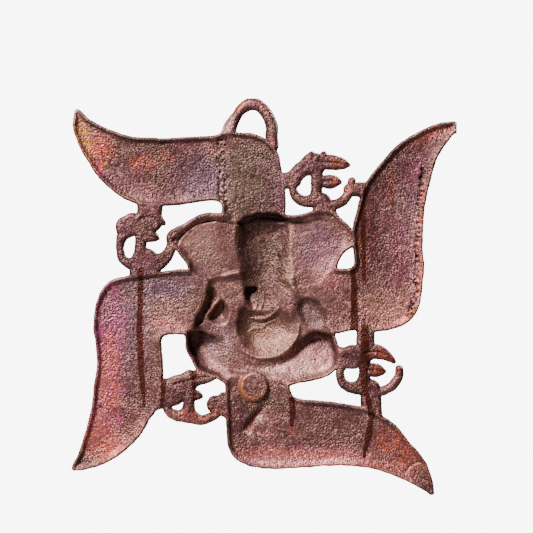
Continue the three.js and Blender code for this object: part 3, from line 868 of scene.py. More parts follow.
@dataclass
class Casting:
    """The plaque: one hollow-backed sand casting.

    Attributes:
        box: The lowest and highest corner that the solid leaves it, in the frame's metres.
        wall: Metal between the hollow and the relief in front.
        thinnest: Least metal between the two.
        free_edge: Thickness of the free edges.
        rim: Flat land round the open back.
        rim_run: Run from the rim's land into the hollow.
        tray: Depth of the arms' dish behind the rims.
        steep_run: Run of the dish's walls on the side that faces down and right.
        gentle_run: Run of the dish's walls on the other side.
        floor_run: Run over which the dish's floor still falls.
        scroll_back: Back face of the openwork.
        scroll_thick: Its thickness.
        loop_depth: The middle of the loop's bar.
        bar_radius: Half the thickness of the bar.
        crown_run: Run over which the front rises from its edges.
        deepest: Greatest depth of a form, so that the relief in front stays within its bounds.
        front_boldness: How many times as high as drawn the lines in front stand.
        back_spacing: Spacing of the mesh on the open back.
        front_spacing: Spacing of the mesh in front.
        edge_spacing: Spacing of the mesh along the edges.
        stub_foot: Middle and radius of the gate's stub at its foot.
        stub_top: Middle and radius of the stub where it is sawn off.
        stub_level: Height of the sawn face.
        sand: The grain of the sand.
        mottle: The grain of the patina.
    """

    box: tuple[Vector, Vector]
    wall: float = 2.8
    thinnest: float = 0.9
    free_edge: float = 2.2
    rim: float = 0.2
    rim_run: float = 2.0
    tray: float = 2.6
    steep_run: float = 2.2
    gentle_run: float = 3.8
    floor_run: float = 12.0
    scroll_back: float = -0.5
    scroll_thick: float = 3.4
    loop_depth: float = -3.0
    bar_radius: float = 2.7
    crown_run: float = 2.6
    deepest: float = 12.2
    front_boldness: float = 1.5
    back_spacing: float = 0.7
    front_spacing: float = 0.95
    edge_spacing: float = 0.62
    stub_foot: Station = (-2.75, -43.75, 7.5)
    stub_top: Station = (-1.7, -42.9, 6.35)
    stub_level: float = -0.25
    sand: Grain = field(default_factory=lambda: Grain(11))
    mottle: Grain = field(default_factory=lambda: Grain(23))

    # The grid of the drawing
    LOW = (-99.0, -104.0)
    HIGH = (106.0, 108.0)
    STEP = 0.4

    # Fillets where the parts of the outline meet
    ARM_FILLET = 1.2
    STROKE_FILLET = 0.8
    JOINT_FILLET = 1.0

    # How ragged the edges are
    RAGGED_BODY = Rough(3.2, 3, 0.24)
    RAGGED_STROKES = Rough(3.2, 3, 0.34)
    RAGGED_LOOP = Rough(3.2, 3, 0.22)

    # How rough each surface is
    WANDER_ACROSS = Rough(6.0, 3, 0.8, (30.0, 0.0))
    WANDER_UP = Rough(6.0, 3, 0.8, (0.0, 30.0))
    COARSE_SAND = Rough(9.0, 2, 0.20)
    FINE_SAND = Rough(2.4, 2, 0.10)
    RIM_SAND = Rough(4.0, 2, 0.16, (50.0, 0.0))
    SCROLL_SAND = Rough(3.0, 3, 0.34)
    LOOP_SAND = Rough(2.2, 2, 0.14)
    FRONT_SAND = Rough(5.0, 3, 0.08, (0.0, -70.0))

    # The small pits
    PIT_SEED = 5
    PIT_TRIES = 2600
    PIT_INSET = 1.0  # least distance from the casting's edge
    PIT_SIZES = (0.3, 0.7)
    PIT_BENT = 1.2  # power that makes the small ones commoner
    PIT_DEPTH = 0.55  # for each millimetre of size
    PIT_BRINK = 1.4  # radii from a pit's middle to the end of its brink
    PIT_WINDOW = 2.2  # radii to each side that a pit is worked out over

    # The walls of the dish
    SHADE = (0.55, -0.8)  # the way that a wall in shade faces
    SHADE_CONTRAST = 0.9
    SHADE_REACH = 1.0
    RIM_WANDER = 0.35  # share of the rim's width by which it varies
    RIM_WAVE = 5.0
    WALL_SHARE, FLOOR_SHARE = 0.7, 0.3  # of the dish's depth

    # The forms and the lines
    FORM_POINTS = 5
    FORM_REACH = 8.0
    MARK_REACH = 3.0
    VEIN_HALF = 0.8
    LEAF_VEIN, BUD_VEIN = 1.0, 0.8  # depths
    SAND_START, SAND_RUN = 0.3, 1.6  # where the sand's grain begins inside the rims
    EDGE_DROP, EDGE_RUN = 0.35, 0.5  # how the rims are rounded off
    SCROLL_ROUND, SCROLL_ROUND_RUN = 1.6, 2.4
    SCROLL_FRONT_ROUND, SCROLL_FRONT_RUN = 1.2, 1.8
    SAW_MARKS, SAW_WAY = 0.10, (0.3, 2.0)  # height of the saw's marks and how they are drawn out
    SAWN_LUMPS, SAWN_LUMP = 0.15, 2.0  # height and size of the lumps on the sawn face
    SAWN_ROUNDING = 1.02
    LEAST_BAR = 0.4
    LOOSE_START, LOOSE_RUN = -0.1, 1.1  # where the openwork and the loop give way to the body

    # The front
    FRONT_LESS = 1.2  # how much shallower its ground is than the hollow's
    CAP_FILLET = 1.5
    FIGURE_FADE = 3.0  # distance outside the figure over which the bead and rib fade
    BEAD_INSET, BEAD_HALF = 2.9, 0.9
    RIB_INSET, RIB_RUN, RIB_HEIGHT = 8.0, 6.0, 1.2

    # The mesh
    BODY_ROWS = (0.36, 0.8, 1.25, 1.75, 2.4, 3.2, 4.2)  # distances of its rows from the edges
    STROKE_ROWS = (0.4, 0.95, 1.6)
    ROW_LEAST = 0.6  # share of the spacing below which a row is too near the edge
    ALONG_BODY, ALONG_STROKES = 0.75, 0.8  # spacing along the rows as a share of the mesh's
    ROW_SLACK = 0.08  # how much nearer the casting's own edge a point of a row may be
    TIE = 0.2  # how far beyond the body's edge its points and the openwork's run
    FILL_GAP = 0.4  # share of the spacing between the last row and the fill
    STROKE_FILL = 1.8
    WALL_ROWS = (0.3, 0.7)  # shares of the height of the edges' walls
    WALL_BULGE, WALL_VARIES, WALL_WAVE = 0.30, 0.5, 3.0
    SAME_CELL = 0.55  # share of the spacing within which one point is enough
    CELL_STRIDE = 100003  # more cells than a row of them has
    SAME_POINT = 1e-7

    # The outline

    def draw(self) -> None:
        """Works out how far each place lies inside the arms, the openwork and the loop."""
        u, v = Field.grid(self.LOW, self.HIGH, self.STEP)
        body = inside_outline(closed_curve(FIGURE_OUTLINE), u, v)
        for arm in ARMS:
            body = soft_max(body, inside_outline(closed_curve(arm.outline), u, v), self.ARM_FILLET)
        strokes = np.full(u.shape, -STROKE_REACH)
        for scroll in SCROLLS:
            for stroke in scroll.strokes():
                inward = inside_stroke(open_curve(stroke), u, v)
                strokes = soft_max(strokes, inward, self.STROKE_FILLET)
        loop = inside_stroke(open_curve(LOOP_PATH), u, v)
        loop = soft_max(loop, inside_stroke(open_curve(LOOP_FOOT), u, v), self.STROKE_FILLET)
        body += self.RAGGED_BODY.over(self.sand, u, v)
        strokes += self.RAGGED_STROKES.over(self.sand, u, v)
        loop += self.RAGGED_LOOP.over(self.sand, u, v)
        joined = soft_max(body, strokes, self.JOINT_FILLET)
        self.body = self.field(body)
        self.strokes = self.field(strokes)
        self.loop = self.field(loop)
        self.whole = self.field(soft_max(joined, loop, self.JOINT_FILLET))
        self.pits = self.field(self.pitting())

    def field(self, values: Array) -> Field:
        """Values over the whole drawing."""
        return Field(self.LOW, self.STEP, values)

    def scatter_pits(self) -> list[tuple[float, float, float, float]]:
        """Pits of the sand: some in rows, the others anywhere on the back.

        Returns:
            For each pit its u, v, radius and depth.
        """
        random = np.random.default_rng(self.PIT_SEED)
        pits = []
        for row in PIT_ROWS:
            line = open_curve(row.path, 12)
            for place in line[np.linspace(0, len(line) - 1, row.count).astype(int)]:
                shift = random.normal(0, row.scatter, 2)
                pits.append((*(place + shift), random.uniform(*row.radii), random.uniform(*row.depths)))
        places = random.uniform(self.LOW, self.HIGH, (self.PIT_TRIES, 2))
        metal = self.body.sample(places[:, 0], places[:, 1]) > self.PIT_INSET
        for place in places[metal]:
            size = random.uniform(*self.PIT_SIZES) ** self.PIT_BENT
            pits.append((*place, size, self.PIT_DEPTH * size))
        return pits

    def pitting(self) -> Array:
        """How deep the pits are over the whole drawing.

        Returns:
            The depths at the places of the drawing's grid.
        """
        u, v = Field.grid(self.LOW, self.HIGH, self.STEP)
        depth = np.zeros(u.shape)
        for x, y, radius, deep in self.scatter_pits():
            reach = int(radius * self.PIT_WINDOW / self.STEP) + 1
            i = int((x - self.LOW[0]) / self.STEP)
            j = int((y - self.LOW[1]) / self.STEP)
            window = tuple(slice(max(k - reach, 0), k + reach + 1) for k in (j, i))
            distance = np.hypot(u[window] - x, v[window] - y) / radius
            depth[window] = np.maximum(depth[window], deep * smooth(self.PIT_BRINK - distance))
        return depth

    # The open back

    def shaded_side(self, u: Array, v: Array) -> Array:
        """How far an edge's wall faces down and right, from 0 to 1."""
        right, up = self.body.slope(u, v, self.SHADE_REACH)
        return smooth(0.5 + self.SHADE_CONTRAST * (self.SHADE[0] * right + self.SHADE[1] * up))

    def dish(self, u: Array, v: Array, inward: Array) -> Array:
        """Depth of the arms' dish, with its steep and its gentle walls.

        Args:
            u: The places' u.
            v: The places' v.
            inward: How far in from the casting's edge they lie.

        Returns:
            The depths behind the rims.
        """
        run = self.gentle_run + (self.steep_run - self.gentle_run) * self.shaded_side(u, v)
        rim = self.rim * (1.0 + self.RIM_WANDER * self.sand.at(u, v, self.RIM_WAVE))
        wall = self.WALL_SHARE * smooth((inward - rim) / run)
        return self.tray * (wall + self.FLOOR_SHARE * smooth((inward - rim) / self.floor_run))

    def forms(self, u: Array, v: Array, floor: Array, grow: float) -> Array:
        """The deepest of the figure's forms, blended with its neighbours.

        Args:
            u: The places' u.
            v: The places' v.
            floor: The depth where there is no form.
            grow: How much wider than in the hollow the forms are.

        Returns:
            The depths behind the rims.
        """
        depth = np.array(floor, float)
        across, up = (wander.over(self.sand, u, v) for wander in (self.WANDER_ACROSS, self.WANDER_UP))
        u, v = u + across, v + up
        for form in FORMS:
            border = closed_curve(form.outline, self.FORM_POINTS)
            middle = border.mean(0)
            inward = inside_outline(border, u, v, self.FORM_REACH)
            t = (inward + grow) / (form.edge + grow)
            lean = form.tilt[0] * (u - middle[0]) + form.tilt[1] * (v - middle[1])
            depth = soft_max(depth, (form.depth + lean) * form.brink.share(t), form.fillet)
        return depth

    def marked(self, marks: list[Mark], u: Array, v: Array) -> Array:
        """How far marks raise a surface.

        Args:
            marks: The marks.
            u: The places' u.
            v: The places' v.

        Returns:
            The heights, less than 0 where a mark is cut in.
        """
        height = np.zeros(u.shape)
        for mark in marks:
            inward = inside_stroke(open_curve(mark.path), u, v, self.MARK_REACH)
            height += mark.height * smooth(inward / mark.edge)
        return height

    def stub_share(self, u: Array, v: Array) -> Array:
        """How far up the gate's leaning, tapered stub each place is.

        Args:
            u: The places' u.
            v: The places' v.

        Returns:
            The share of the stub's height, 0 at its foot and beyond it and 1 on its sawn face.
        """
        (fx, fy, foot), (tx, ty, top) = self.stub_foot, self.stub_top
        dx, dy, narrowing = tx - fx, ty - fy, foot - top
        qx, qy = u - fx, v - fy
        a = dx * dx + dy * dy - narrowing**2
        b = -2.0 * (qx * dx + qy * dy - foot * narrowing)
        c = qx * qx + qy * qy - foot**2
        root = (-b + np.sqrt(np.maximum(b * b - 4 * a * c, 0.0))) / (2 * a)
        return np.where(c < 0, np.clip(root, 0.0, 1.0), 0.0)

    def sawn_face(self, u: Array, v: Array) -> Array:
        """Heights of the face where the gate was sawn off, with the saw's marks."""
        marks = self.SAW_MARKS * self.sand.at(u * self.SAW_WAY[0], v * self.SAW_WAY[1], 1.0)
        return self.stub_level + marks + self.SAWN_LUMPS * self.sand.at(u, v, self.SAWN_LUMP)

    def hollow(self, u: Array, v: Array, inward: Array, edge: Array) -> Array:
        """Heights of the open back of the arms and the figure, with the gate's stub.

        Args:
            u: The places' u.
            v: The places' v.
            inward: How far they lie inside the arms and the figure.
            edge: How far they lie inside the whole casting.

        Returns:
            The heights w, 0 at the rims.
        """
        depth = self.forms(u, v, self.dish(u, v, inward), 0.0)
        land = inside_stroke(open_curve(EAR_LAND.path), u, v, self.MARK_REACH)
        depth += (-EAR_LAND.height - depth) * smooth(land / EAR_LAND.edge)
        height = -depth * smooth((inward - self.rim) / self.rim_run)
        height += self.marked(BACK_MARKS, u, v)
        sand = self.COARSE_SAND.over(self.sand, u, v) + self.FINE_SAND.over(self.sand, u, v)
        height += sand * smooth((inward - self.SAND_START) / self.SAND_RUN) - self.pits.sample(u, v)
        height += self.RIM_SAND.over(self.sand, u, v) * (1 - smooth(inward / self.rim_run))
        height -= self.EDGE_DROP * (1 - smooth(edge / self.EDGE_RUN))
        stub = smooth(self.stub_share(u, v) * self.SAWN_ROUNDING)
        return height + (self.sawn_face(u, v) - height) * stub

    def leaf_veins(self, u: Array, v: Array) -> Array:
        """The midribs cut into the leaves and buds of the openwork.

        Args:
            u: The places' u.
            v: The places' v.

        Returns:
            The heights, less than 0 where a midrib is cut in.
        """
        height = np.zeros(u.shape)
        for scroll in SCROLLS:
            for stroke, deep in ((scroll.leaf, self.LEAF_VEIN), (scroll.bud, self.BUD_VEIN)):
                line = open_curve(stroke)
                line[:, 2] = self.VEIN_HALF
                inward = inside_stroke(line, u, v, self.MARK_REACH)
                height -= deep * smooth(inward / self.VEIN_HALF)
        return height

    def bar_half(self, u: Array, v: Array) -> Array:
        """Half the thickness of the loop's round bar.

        Args:
            u: The places' u.
            v: The places' v.

        Returns:
            The half-thickness at each place.
        """
        inward = np.maximum(inside_stroke(open_curve(LOOP_PATH), u, v), 0.0)
        across = np.clip(1.0 - inward / self.bar_radius, 0.0, 1.0)
        return np.maximum(self.bar_radius * np.sqrt(1.0 - across**2), self.LEAST_BAR)

    def joined(self, u: Array, v: Array, body: Array, openwork: Array, bar: Array) -> Array:
        """One surface from those of the body, the openwork and the loop.

        Args:
            u: The places' u.
            v: The places' v.
            body: Heights of the arms and the figure.
            openwork: Heights of the openwork.
            bar: Heights of the loop's bar.

        Returns:
            The heights w.
        """
        inward = self.body.sample(u, v)
        loop = smooth((self.loop.sample(u, v) - self.strokes.sample(u, v)) + 0.5)
        loose = openwork + (bar - openwork) * loop
        return loose + (body - loose) * smooth((inward - self.LOOSE_START) / self.LOOSE_RUN)

    def back(self, u: Array, v: Array) -> Array:
        """Heights of the open back.

        Args:
            u: The places' u.
            v: The places' v.

        Returns:
            The heights w, 0 at the rims.
        """
        edge = self.whole.sample(u, v)
        body = self.hollow(u, v, self.body.sample(u, v), edge)
        rounding = self.SCROLL_ROUND * (1 - quarter_round(edge / self.SCROLL_ROUND_RUN))
        openwork = self.scroll_back - rounding
        openwork += self.leaf_veins(u, v) + self.SCROLL_SAND.over(self.sand, u, v)
        bar = self.loop_depth + self.bar_half(u, v) + self.LOOP_SAND.over(self.sand, u, v)
        return self.joined(u, v, body, openwork, bar)

    # The front, which the relief stands out of

    def arm_lines(self, u: Array, v: Array, inward: Array) -> Array:
        """The bead and the rib along the arms in front.

        Args:
            u: The places' u.
            v: The places' v.
            inward: How far they lie inside the arms and the figure.

        Returns:
            How far they stand out.
        """
        beyond = inside_outline(closed_curve(FIGURE_OUTLINE), u, v) + self.FIGURE_FADE
        arms = 1.0 - smooth(beyond / self.FIGURE_FADE)
        bead = np.exp(-(((inward - self.BEAD_INSET) / self.BEAD_HALF) ** 2)) * arms
        rib = smooth((inward - self.RIB_INSET) / self.RIB_RUN) * arms
        return bead + self.RIB_HEIGHT * rib

    def front(self, u: Array, v: Array) -> Array:
        """Heights of the front, whose relief follows the hollow.

        Args:
            u: The places' u.
            v: The places' v.

        Returns:
            The heights w, all below the rims.
        """
        inward = self.body.sample(u, v)
        edge = self.whole.sample(u, v)
        ground = np.full(u.shape, self.tray - self.FRONT_LESS)
        depth = self.forms(u, v, ground, self.wall - self.FRONT_LESS)
        depth = -soft_max(-depth, np.full(u.shape, -self.deepest), self.CAP_FILLET)
        crown = quarter_round(inward / self.crown_run)
        relief = -(self.free_edge + (self.wall + depth - self.free_edge) * crown)
        relief -= self.arm_lines(u, v, inward)
        relief -= self.front_boldness * self.marked(FRONT_MARKS, u, v)
        relief += self.FRONT_SAND.over(self.sand, u, v)
        rounding = self.SCROLL_FRONT_ROUND * (1 - quarter_round(edge / self.SCROLL_FRONT_RUN))
        openwork = self.scroll_back - self.scroll_thick + rounding
        openwork -= self.leaf_veins(u, v)
        return self.joined(u, v, relief, openwork, self.loop_depth - self.bar_half(u, v))

    def below_back(self, places: Array, heights: Array) -> Array:
        """Keeps the front at least a thin wall below the back."""
        return np.minimum(heights, self.back(places[:, 0], places[:, 1]) - self.thinnest)

    # The mesh

    def edge_rows(self, spacing: float) -> list[Array]:
        """Rows of points that follow the edges.

        Args:
            spacing: Spacing of the mesh further in.

        Returns:
            Rows of u and v, a set for each line.
        """
        sets = []
        for level in self.BODY_ROWS:
            if level < self.ROW_LEAST * spacing:
                continue
            for line in self.body.lines(level, max(self.edge_spacing, self.ALONG_BODY * spacing)):
                sets.append(line[self.whole.sample(line[:, 0], line[:, 1]) > level - self.ROW_SLACK])
        for level in self.STROKE_ROWS:
            for line in self.whole.lines(level, max(self.edge_spacing, self.ALONG_STROKES * spacing)):
                sets.append(line[self.body.sample(line[:, 0], line[:, 1]) < -self.TIE])
        return sets

    def fill(self, spacing: float) -> Array:
        """An even fill of points between the rows that follow the edges.

        Args:
            spacing: Their spacing.

        Returns:
            Rows of u and v.
        """
        rows = np.arange(self.LOW[1], self.HIGH[1], spacing * math.sqrt(0.75))
        columns = np.arange(self.LOW[0], self.HIGH[0], spacing)
        u, v = np.meshgrid(columns, rows)
        u = u + (np.arange(len(rows)) % 2)[:, None] * spacing / 2
        places = np.column_stack([u.ravel(), v.ravel()])
        inward = self.body.sample(places[:, 0], places[:, 1])
        edge = self.whole.sample(places[:, 0], places[:, 1])
        deep = inward > self.BODY_ROWS[-1] + self.FILL_GAP * spacing
        return places[deep | ((inward < self.TIE) & (edge > self.STROKE_FILL))]

    def inner_points(self, spacing: float) -> Array:
        """The mesh's points inside its borders, none of them too near another.

        Args:
            spacing: Spacing of the fill.

        Returns:
            Rows of u and v.
        """
        places = np.vstack([*self.edge_rows(spacing), self.fill(spacing)])
        cells = np.floor(places / (self.SAME_CELL * spacing)).astype(int)
        _, first = np.unique(cells[:, 0] * self.CELL_STRIDE + cells[:, 1], return_index=True)
        return places[np.sort(first)]

    def triangulate(self, border: list[Array], inner: Array) -> Array:
        """Triangles over the metal, between its border lines and its inner points.

        Args:
            border: The closed lines of its border.
            inner: The inner points.

        Returns:
            Rows of three indices into the border's points and then the inner ones.
        """
        edges = []
        start = 0
        for line in border:
            ring = np.arange(start, start + len(line))
            edges += list(zip(ring.tolist(), np.roll(ring, -1).tolist()))
            start += len(line)
        places = np.vstack([*border, inner])
        made = delaunay_2d_cdt([Vector(p) for p in places], edges, [], 0, self.SAME_POINT)
        if len(made[0]) != len(places):
            raise ValueError(f"the border crosses itself: {len(places)} points became {len(made[0])}")
        origin = np.array([ids[0] for ids in made[3]])
        triangles = origin[np.array(made[2])]
        doubtful = np.nonzero((triangles < start).all(1))[0]
        kept = np.ones(len(triangles), bool)
        kept[doubtful] = self.covers(border, places[triangles[doubtful]].mean(1))
        triangles = triangles[kept]
        a, b, c = (places[triangles[:, k]] for k in range(3))
        turn = (b[:, 0] - a[:, 0]) * (c[:, 1] - a[:, 1]) - (b[:, 1] - a[:, 1]) * (c[:, 0] - a[:, 0])
        triangles[turn < 0] = triangles[turn < 0][:, ::-1]
        return triangles

    @staticmethod
    def covers(border: list[Array], places: Array) -> Array:
        """Which places lie on the metal.

        Args:
            border: The closed lines of its border.
            places: Rows of u and v.

        Returns:
            True for each place between the lines.
        """
        x, y = places.T
        inside = np.zeros(len(places), bool)
        for line in border:
            for (ax, ay), (bx, by) in zip(line, np.roll(line, -1, 0)):
                if ay != by:
                    level = (ay > y) != (by > y)
                    inside ^= level & (x < ax + (y - ay) / (by - ay) * (bx - ax))
        return inside

    def main_border(self) -> list[Array]:
        """The border lines of the one connected casting, without loose specks.

        Returns:
            The outer line and then those of the openings.
        """
        lines = self.whole.lines(0.0, self.edge_spacing)
        outer = max(lines, key=len)
        openings = [line for line in lines if line is not outer and self.covers([outer], line[:1])[0]]
        return [outer, *openings]

    def outward(self, ring: Array) -> Array:
        """The way out of the casting at the points of its border.

        Args:
            ring: Rows of u and v.

        Returns:
            A row of length 1 for each.
        """
        right, up = self.whole.slope(ring[:, 0], ring[:, 1])
        length = np.maximum(np.hypot(right, up), 1e-6)
        return -np.column_stack([right / length, up / length])

    def wall_rows(self, ring: Array, upper: Array, lower: Array) -> list[Array]:
        """The points of the bulging wall between the back's edge and the front's.

        Args:
            ring: The border's points as rows of u and v.
            upper: Heights of the back there.
            lower: Heights of the front there.

        Returns:
            For each row of the wall, rows of u, v and w.
        """
        rows = []
        for share in self.WALL_ROWS:
            waves = 1 + self.WALL_VARIES * self.sand.at(ring[:, 0], ring[:, 1], self.WALL_WAVE)
            bulge = self.WALL_BULGE * math.sin(math.pi * share) * waves
            places = ring + self.outward(ring) * bulge[:, None]
            rows.append(np.column_stack([places, upper * (1 - share) + lower * share]))
        return rows

    @staticmethod
    def wall_faces(border: list[Array], starts: list[int]) -> list[Array]:
        """The triangles between the rows of the edges' walls.

        Args:
            border: The closed lines of the border.
            starts: Where each row's points begin, from the back's edge to the front's.

        Returns:
            Rows of three indices, two sets for each pair of rows.
        """
        ends = np.cumsum([len(line) for line in border])
        here = np.arange(ends[-1])
        following = here + 1
        following[ends - 1] = ends - [len(line) for line in border]
        faces = []
        for upper, lower in zip(starts, starts[1:]):
            a, b, c, d = upper + here, lower + here, lower + following, upper + following
            faces += [np.column_stack([a, b, c]), np.column_stack([a, c, d])]
        return faces

    def build(self) -> bpy.types.Object:
        """Meshes the casting.

        Returns:
            The plaque as one closed mesh, not yet dressed.
        """
        self.draw()
        border = self.main_border()
        ring = np.vstack(border)
        count = len(ring)
        back_inner = self.inner_points(self.back_spacing)
        front_inner = self.inner_points(self.front_spacing)
        back_places = np.vstack([ring, back_inner])
        front_places = np.vstack([ring, front_inner])
        back_heights = self.back(back_places[:, 0], back_places[:, 1])
        front_heights = self.front(front_places[:, 0], front_places[:, 1])
        front_heights = self.below_back(front_places, front_heights)
        front_start = len(back_places)
        wall_start = front_start + len(front_places)
        starts = [0, *(wall_start + k * count for k in range(len(self.WALL_ROWS))), front_start]
        vertices = np.vstack([
            np.column_stack([back_places, back_heights]),
            np.column_stack([front_places, front_heights]),
            *self.wall_rows(ring, back_heights[:count], front_heights[:count]),
        ])
        triangles = np.vstack([
            self.triangulate(border, back_inner),
            self.triangulate(border, front_inner)[:, ::-1] + front_start,
            *self.wall_faces(border, starts),
        ])
        used = np.unique(triangles)
        renumbered = np.full(len(vertices), -1)
        renumbered[used] = np.arange(len(used))
        self.points, triangles = vertices[used], renumbered[triangles]
        log.info("casting: %d points, %d triangles", len(self.points), len(triangles))
        return self.to_object("plaque_casting", self.points, triangles)

    def dress(self, obj: bpy.types.Object) -> None:
        """Colours the casting with its patina, its bronze and its painted light and shade."""
        Patina(self).mark(obj, self.points)
        obj.data.materials.append(SandCastBronze().material())

    def to_object(self, name: str, vertices: Array, triangles: Array) -> bpy.types.Object:
        """Turns drawn points and triangles into an object in the frame.

        Args:
            name: The object's name.
            vertices: Rows of u, v and w in millimetres.
            triangles: Rows of three indices.

        Returns:
            The object, at the origin, with its place in its mesh.
        """
        drawn = vertices - np.array(SEAT)
        frame = np.column_stack([-drawn[:, 0], drawn[:, 2], drawn[:, 1]]) * MILLIMETRE
        low, high = (np.array(corner) for corner in self.box)
        frame = np.clip(frame, low, high)
        mesh = bpy.data.meshes.new(name)
        mesh.vertices.add(len(frame))
        mesh.vertices.foreach_set("co", frame.astype(np.float32).ravel())
        mesh.loops.add(3 * len(triangles))
        mesh.loops.foreach_set("vertex_index", triangles.astype(np.int32).ravel())
        mesh.polygons.add(len(triangles))
        mesh.polygons.foreach_set("loop_start", np.arange(0, 3 * len(triangles), 3, dtype=np.int32))
        mesh.polygons.foreach_set("use_smooth", np.ones(len(triangles), bool))
        mesh.update(calc_edges=True)
        mesh.validate()
        obj = bpy.data.objects.new(name, mesh)
        bpy.context.scene.collection.objects.link(obj)
        return obj


# Where the heat and the weather coloured the metal, and where light and shade are painted onto it


class Pigment(Enum):
    """The tints of the patina, with painted light on the lit slopes and painted shade in the deep
    hollows, named by the attribute that says where each lies.
    """

    PINK = "tint_pink"
    ORANGE = "tint_orange"
    GOLD = "tint_gold"
    PLUM = "tint_plum"
    SLATE = "tint_slate"
    BUFF = "tint_buff"
    # umber patina, and painted shade in the figure's deep hollows
    UMBER_AND_SHADE = "tint_umber_and_shade"
    # a light rose colour, laid on the slopes that face the light as painted light
    LIT_ROSE = "tint_lit_rose"
    OLIVE = "tint_olive"
    # painted sheen: pale highlights on the slopes and crests that face the light
    PAINTED_SHEEN = "tint_painted_sheen"


@dataclass(frozen=True)
class Tint:
    """A patch of one tint.

    Attributes:
        u: Its middle, to the right.
        v: Its middle, upwards.
        width: Half its width.
        height: Half its height.
        strength: How much of the tint it has in the middle.
        turn: Its slant in degrees.
    """

    u: float
    v: float
    width: float
    height: float
    strength: float
    turn: float = 0.0


def tints(*rows: tuple[float, ...]) -> list[Tint]:
    """The patches of one tint, each from the values of its fields."""
    return [Tint(*row) for row in rows]


